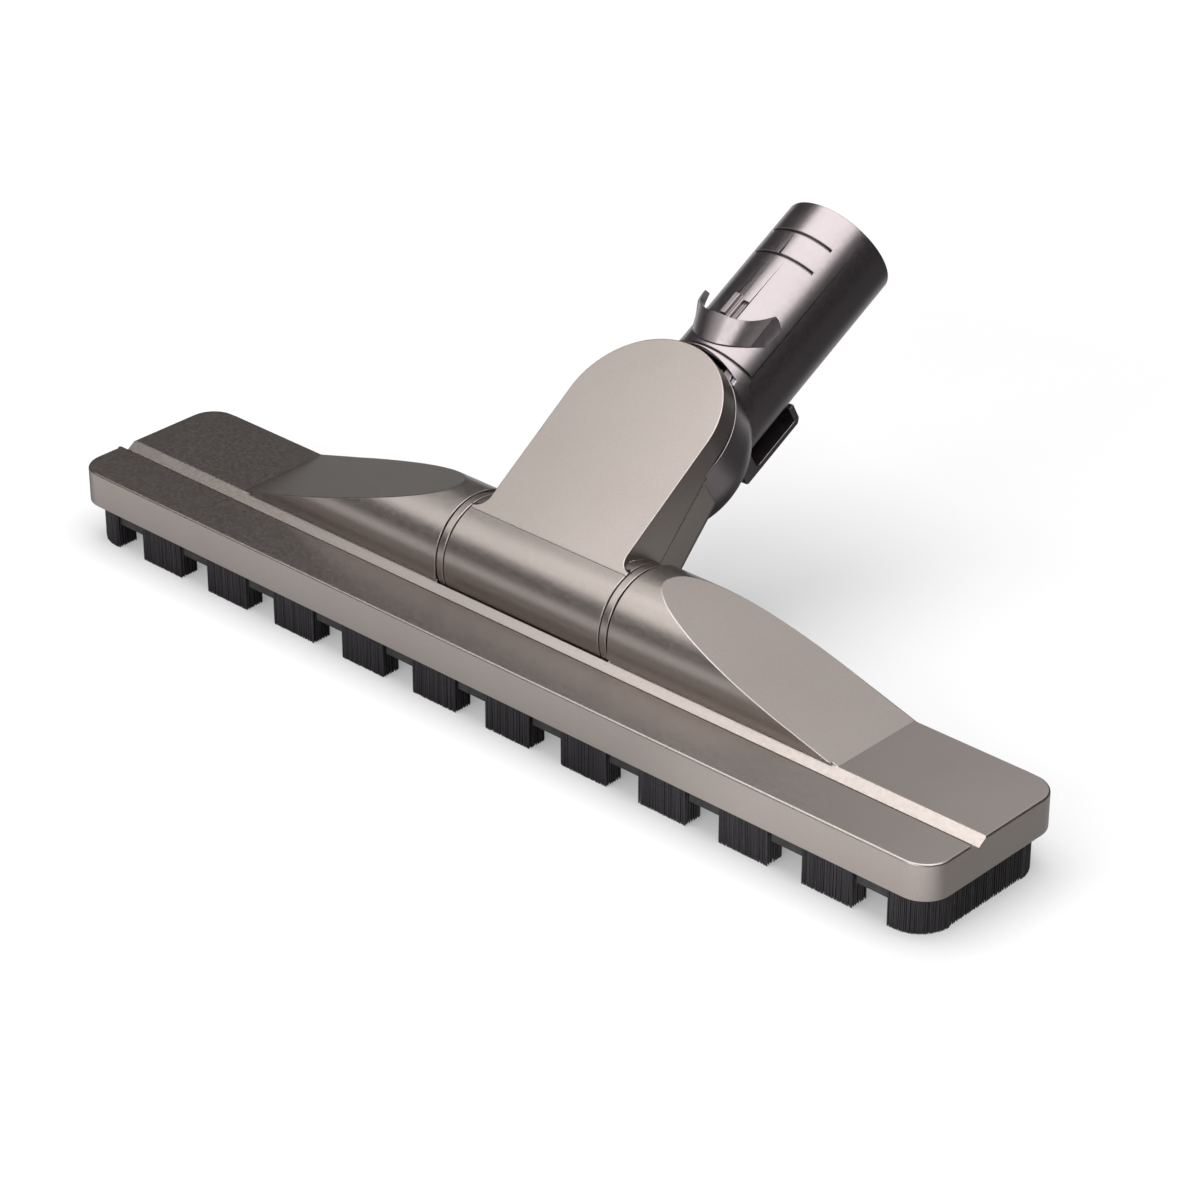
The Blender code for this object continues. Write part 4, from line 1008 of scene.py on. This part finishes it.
def swivel_rings():
    lip_top = DRUM_TOP - FLANGE_HEIGHT - GAP
    top = -WALL - GAP
    profile = [(RETAINER_INNER, top), (RETAINER_OUTER, top), (RETAINER_OUTER, lip_top),
               (RETAINER_LIP, lip_top), (RETAINER_LIP, lip_top - LIP_HEIGHT),
               (RETAINER_INNER, lip_top - LIP_HEIGHT)]
    retainer = turned(profile)
    cut(retainer, box((-0.015, -FAR / 2, lip_top + 0.0004), (0.015, 0, 0.01)))
    piece(softened(retainer, RING_EDGE, 2), "swivel_retainer_shape", NECK @ SWIVEL, "neck", ACETAL)
    seal = turned([(RING_SEAL_INNER, RING_SEAL_TOP), (RING_SEAL_OUTER, RING_SEAL_TOP),
                   (RING_SEAL_OUTER, DRUM_TOP + GAP), (RING_SEAL_INNER, DRUM_TOP + GAP)])
    cut(seal, box((-0.016, -FAR / 2, -0.02), (0.016, 0, 0.01)))
    piece(softened(seal, RING_EDGE, 2), "swivel_seal_shape", NECK @ SWIVEL, "neck", FELT)


def neck_screws():
    profile = [(0, NECK_SCREW_BOTTOM), (0.0020, NECK_SCREW_BOTTOM), (NECK_SCREW_HEAD, -0.0222),
               (NECK_SCREW_HEAD, NECK_SCREW_SEAT), (SHANK_RADIUS, NECK_SCREW_SEAT),
               (SHANK_RADIUS, -0.0056), (0, -0.0049)]
    for side, name in ((-1, "neck_screw_left_shape"), (1, "neck_screw_right_shape")):
        place = NECK @ SWIVEL @ Matrix.Translation((side * NECK_SCREW_X, NECK_SCREW_S, 0))
        screw_with_recess(profile, NECK_SCREW_BOTTOM, place, name, "neck")


# ---------------------------------------------------------------- connector

def drum_profile(grow=0.0, steps=32):
    """The drum's round bottom and straight side from its lowest point up, grown or shrunk."""
    outer = []
    for i in range(steps + 1):
        angle = math.radians(90 * i / steps)
        outer.append(((DRUM_RADIUS + grow) * math.sin(angle),
                      DRUM_STRAIGHT - (DRUM_STRAIGHT - DRUM_BOTTOM + grow) * math.cos(angle)))
    outer[0] = (0, outer[0][1])
    return outer + [(DRUM_RADIUS + grow, DRUM_TOP + grow)]


def socket_collar():
    """The drum's short sleeve round the spigot's foot, clear of the neck's cap."""
    sleeve = cylinder(SOCKET_RADIUS, SOCKET_START, SOCKET_MOUTH, "Y", segments=FINE)
    beyond = [SOCKET_CORNER, (2 * FAR, SOCKET_CORNER[1]), (2 * FAR, -FAR), (SOCKET_HEEL[0], -FAR),
              SOCKET_HEEL]
    cut(sleeve, prism(beyond, -FAR, FAR))
    cut(sleeve, swivel_cylinder(CAP_SPACE_RADIUS, CAP_SPACE_LOW, SPACE_HIGH))
    cut(sleeve, swivel_cylinder(DRUM_RADIUS - WALL / 2, -FAR, SPACE_HIGH))
    return sleeve


def socket_bore():
    return cylinder(TUBE_RADIUS + GAP, SOCKET_BORE_START, 2 * FAR, "Y", segments=FINE)


def swivel_drum():
    inner = [(r, z) for r, z in drum_profile(-WALL) if z < DRUM_STRAIGHT + 0.0001]
    under = DRUM_TOP - FLANGE_HEIGHT
    flange = [(FLANGE_INNER, DRUM_TOP), (FLANGE_INNER, under), (DRUM_RADIUS - WALL, under)]
    body = moved(turned(drum_profile() + flange + list(reversed(inner))), SWIVEL)
    cut(body, socket_bore())
    join(body, cut(socket_collar(), socket_bore()))
    softened(body, SPIGOT_EDGE)
    piece(body, "swivel_drum_shape", NECK, "connector", PURPLE_GREY)


def sector_ring(inner, low, high, half_deg):
    """Ring about the spigot's axis from a radius to past the tube, kept over a sector at its upper side."""
    outer = TUBE_RADIUS + OVER
    body = turned([(inner, high), (outer, high), (outer, low), (inner, low)], "Y", FINE)
    half = math.radians(half_deg)
    reach = (FAR * math.sin(half), FAR * math.cos(half))
    sector = [(0, 0), reach, (0, 2 * FAR), (-reach[0], reach[1])]
    return keep(body, prism(sector, 0, 2 * FAR, plane="XZ"))


def spigot_tube():
    body = cylinder(TUBE_RADIUS, TUBE_START, TUBE_END, "Y", segments=FINE)
    cut(body, cylinder(TUBE_BORE, 0, 0.3, "Y", segments=FINE))
    join(body, box(RIB_LOW, RIB_HIGH))
    cut(body, swivel_cylinder(CAP_SPACE_RADIUS, CAP_SPACE_LOW, SPACE_HIGH))
    cut(body, swivel_cylinder(LIP_SPACE_RADIUS, LIP_SPACE_LOW, SPACE_HIGH))
    slit = sector_ring(TUBE_RADIUS - SLIT_DEPTH, SLIT_START, SLIT_START + SLIT_WIDTH, SLIT_HALF_DEG)
    for low in (CATCH_START, CATCH_END):
        high = low + CATCH_SLIT_WIDTH
        cut(body, sector_ring(TUBE_RADIUS - CATCH_SLIT_DEPTH, low, high, CATCH_HALF_DEG))
    cut(body, slit, box(NOTCH_LOW, NOTCH_HIGH))
    softened(body, SPIGOT_EDGE)
    piece(body, "spigot_tube_shape", NECK, "connector", PURPLE_GREY)


def collar_section(angle_deg):
    """Section of the flared collar at an angle from the spigot's upper side."""
    angle = math.radians(angle_deg)
    turn = abs(angle_deg) / COLLAR_HALF_DEG
    low = COLLAR_FOOT + COLLAR_FOOT_CURVE * (1 - math.cos(angle))
    rise = min(abs(angle_deg) / COLLAR_SHOULDER_DEG, 1.0)
    fall = max(abs(angle_deg) - COLLAR_SHOULDER_DEG, 0.0) / (COLLAR_HALF_DEG - COLLAR_SHOULDER_DEG)
    high = COLLAR_LIP + COLLAR_LIP_RISE * rise ** 3 - COLLAR_LIP_FALL * fall * fall
    foot = TUBE_RADIUS + GAP
    lip = COLLAR_LIP_RADIUS - COLLAR_LIP_DROP * turn ** 4
    section = [(foot, low), (lip, high), (lip - COLLAR_LIP_WIDTH, high + COLLAR_LIP_CROWN),
               (foot, min(low + COLLAR_FOOT_WIDTH, high - COLLAR_LIP_MIN))]
    return [(r * math.sin(angle), u, r * math.cos(angle)) for r, u in section]


def stop_collar():
    step = 2 * COLLAR_HALF_DEG / COLLAR_SECTIONS
    sections = [collar_section(-COLLAR_HALF_DEG + step * i) for i in range(COLLAR_SECTIONS + 1)]
    body = softened(loft(sections), COLLAR_EDGE)
    piece(body, "stop_collar_shape", NECK, "connector", PURPLE_GREY)


def parking_hook():
    tip = HOOK_TIP - HOOK_TIP_THICKNESS
    blade = HOOK_BOTTOM + HOOK_THICKNESS
    outline = [(HOOK_ROOT, HOOK_TOP), (HOOK_ROOT, HOOK_BOTTOM + HOOK_ROOT_CHAMFER),
               (HOOK_ROOT + HOOK_ROOT_CHAMFER, HOOK_BOTTOM), (HOOK_TIP - HOOK_TIP_CHAMFER[0], HOOK_BOTTOM),
               (HOOK_TIP, HOOK_BOTTOM + HOOK_TIP_CHAMFER[1]), (HOOK_TIP, HOOK_TIP_TOP), (tip, HOOK_TIP_TOP),
               (tip, blade), (HOOK_HEEL, blade), (HOOK_ROOT_END, HOOK_HEEL_TOP), (HOOK_ROOT_END, HOOK_TOP)]
    body = prism(outline, -HOOK_HALF, HOOK_HALF)
    cut(body, cylinder(TUBE_RADIUS + GAP, 0.03, 0.0675, "Y", segments=FINE))
    cut(body, cylinder(HOOK_TIP_SPACE, 0.0674, FAR, "Y", segments=FINE))
    cut(body, moved(turned(drum_profile(GAP) + [(0, DRUM_TOP + GAP)]), SWIVEL))
    softened(body, MOULDED_EDGE)
    piece(body, "parking_hook_shape", NECK, "connector", PURPLE_GREY)


# ---------------------------------------------------------------- build

upper_housing()
sole_plate()
sole_screws()
brush_frame()
bristles()
pivot_bushes()
barrel_seal()
neck_upper_shell()
neck_lower_shell()
trunnions()
swivel_rings()
neck_screws()
swivel_drum()
spigot_tube()
stop_collar()
parking_hook()
bpy.data.collections.remove(BENCH)

# ---------------------------------------------------------------- floor, lights and camera

# Name, azimuth and elevation in degrees, width and height in metres, power in watts
SOFTBOXES = (("key", 90, 85.5, 1.30, 2.27, 30.5),
             ("front", -30, 47, 1.40, 0.90, 7.5),
             ("rear", -166, 46, 1.03, 1.03, 3.0),
             ("front_low", 12, 25, 1.30, 0.50, 8.0))
LIGHT_TARGET = Vector((0, 0, 0.03))
LIGHT_DISTANCE = 1.5
ROOM_COLOUR = (0.036, 0.034, 0.036, 1)
CAMERA_LENS = 112.44
CAMERA_TARGET = Vector((-0.00495, -0.02104, 0.01188))
CAMERA_AZIMUTH = 42.89
CAMERA_ELEVATION = 29.20
CAMERA_DISTANCE = 1.0214


def floor():
    bm = bmesh.new()
    bmesh.ops.create_grid(bm, x_segments=8, y_segments=8, size=4.0)
    mesh = bpy.data.meshes.new("floor")
    bm.to_mesh(mesh)
    bm.free()
    obj = bpy.data.objects.new("floor", mesh)
    mesh.materials.append(bare_floor("floor_white"))
    scene.collection.objects.link(obj)


def direction(azimuth, elevation):
    """Unit vector towards a point on the sky: azimuth 0 is -Y, 90 is +X."""
    a = math.radians(azimuth)
    e = math.radians(elevation)
    return Vector((math.sin(a) * math.cos(e), -math.cos(a) * math.cos(e), math.sin(e)))


def aimed(name, data, target, azimuth, elevation, distance):
    """An object that looks at a target from a point on the sky."""
    obj = bpy.data.objects.new(name, data)
    obj.location = target + direction(azimuth, elevation) * distance
    obj.rotation_euler = (target - obj.location).to_track_quat("-Z", "Y").to_euler()
    scene.collection.objects.link(obj)
    return obj


def softbox(name, azimuth, elevation, width, height, power):
    light = bpy.data.lights.new(name, "AREA")
    light.shape = "RECTANGLE"
    light.size = width
    light.size_y = height
    light.energy = power
    aimed(name, light, LIGHT_TARGET, azimuth, elevation, LIGHT_DISTANCE).visible_camera = False


def lights():
    """The softboxes, and a room that is white to the camera and nearly dark to everything else."""
    for name, azimuth, elevation, width, height, power in SOFTBOXES:
        softbox(name, azimuth, elevation, width, height, power)
    world = bpy.data.worlds.new("studio")
    scene.world = world
    world.use_nodes = True
    tree = world.node_tree
    background = tree.nodes["Background"]
    background.inputs["Color"].default_value = ROOM_COLOUR
    background.inputs["Strength"].default_value = 1.0
    white = tree.nodes.new("ShaderNodeBackground")
    mix = tree.nodes.new("ShaderNodeMixShader")
    path = tree.nodes.new("ShaderNodeLightPath")
    tree.links.new(path.outputs["Is Camera Ray"], mix.inputs["Fac"])
    tree.links.new(background.outputs["Background"], mix.inputs[1])
    tree.links.new(white.outputs["Background"], mix.inputs[2])
    tree.links.new(mix.outputs["Shader"], tree.nodes["World Output"].inputs["Surface"])
    white.inputs["Color"].default_value = (1, 1, 1, 1)
    white.inputs["Strength"].default_value = 1.0


def camera():
    data = bpy.data.cameras.new("camera")
    data.sensor_width = 36
    data.lens = CAMERA_LENS
    data.clip_start = 0.01
    data.clip_end = 20
    scene.camera = aimed("camera", data, CAMERA_TARGET, CAMERA_AZIMUTH, CAMERA_ELEVATION, CAMERA_DISTANCE)


floor()
lights()
camera()
scene.view_settings.view_transform = "Standard"
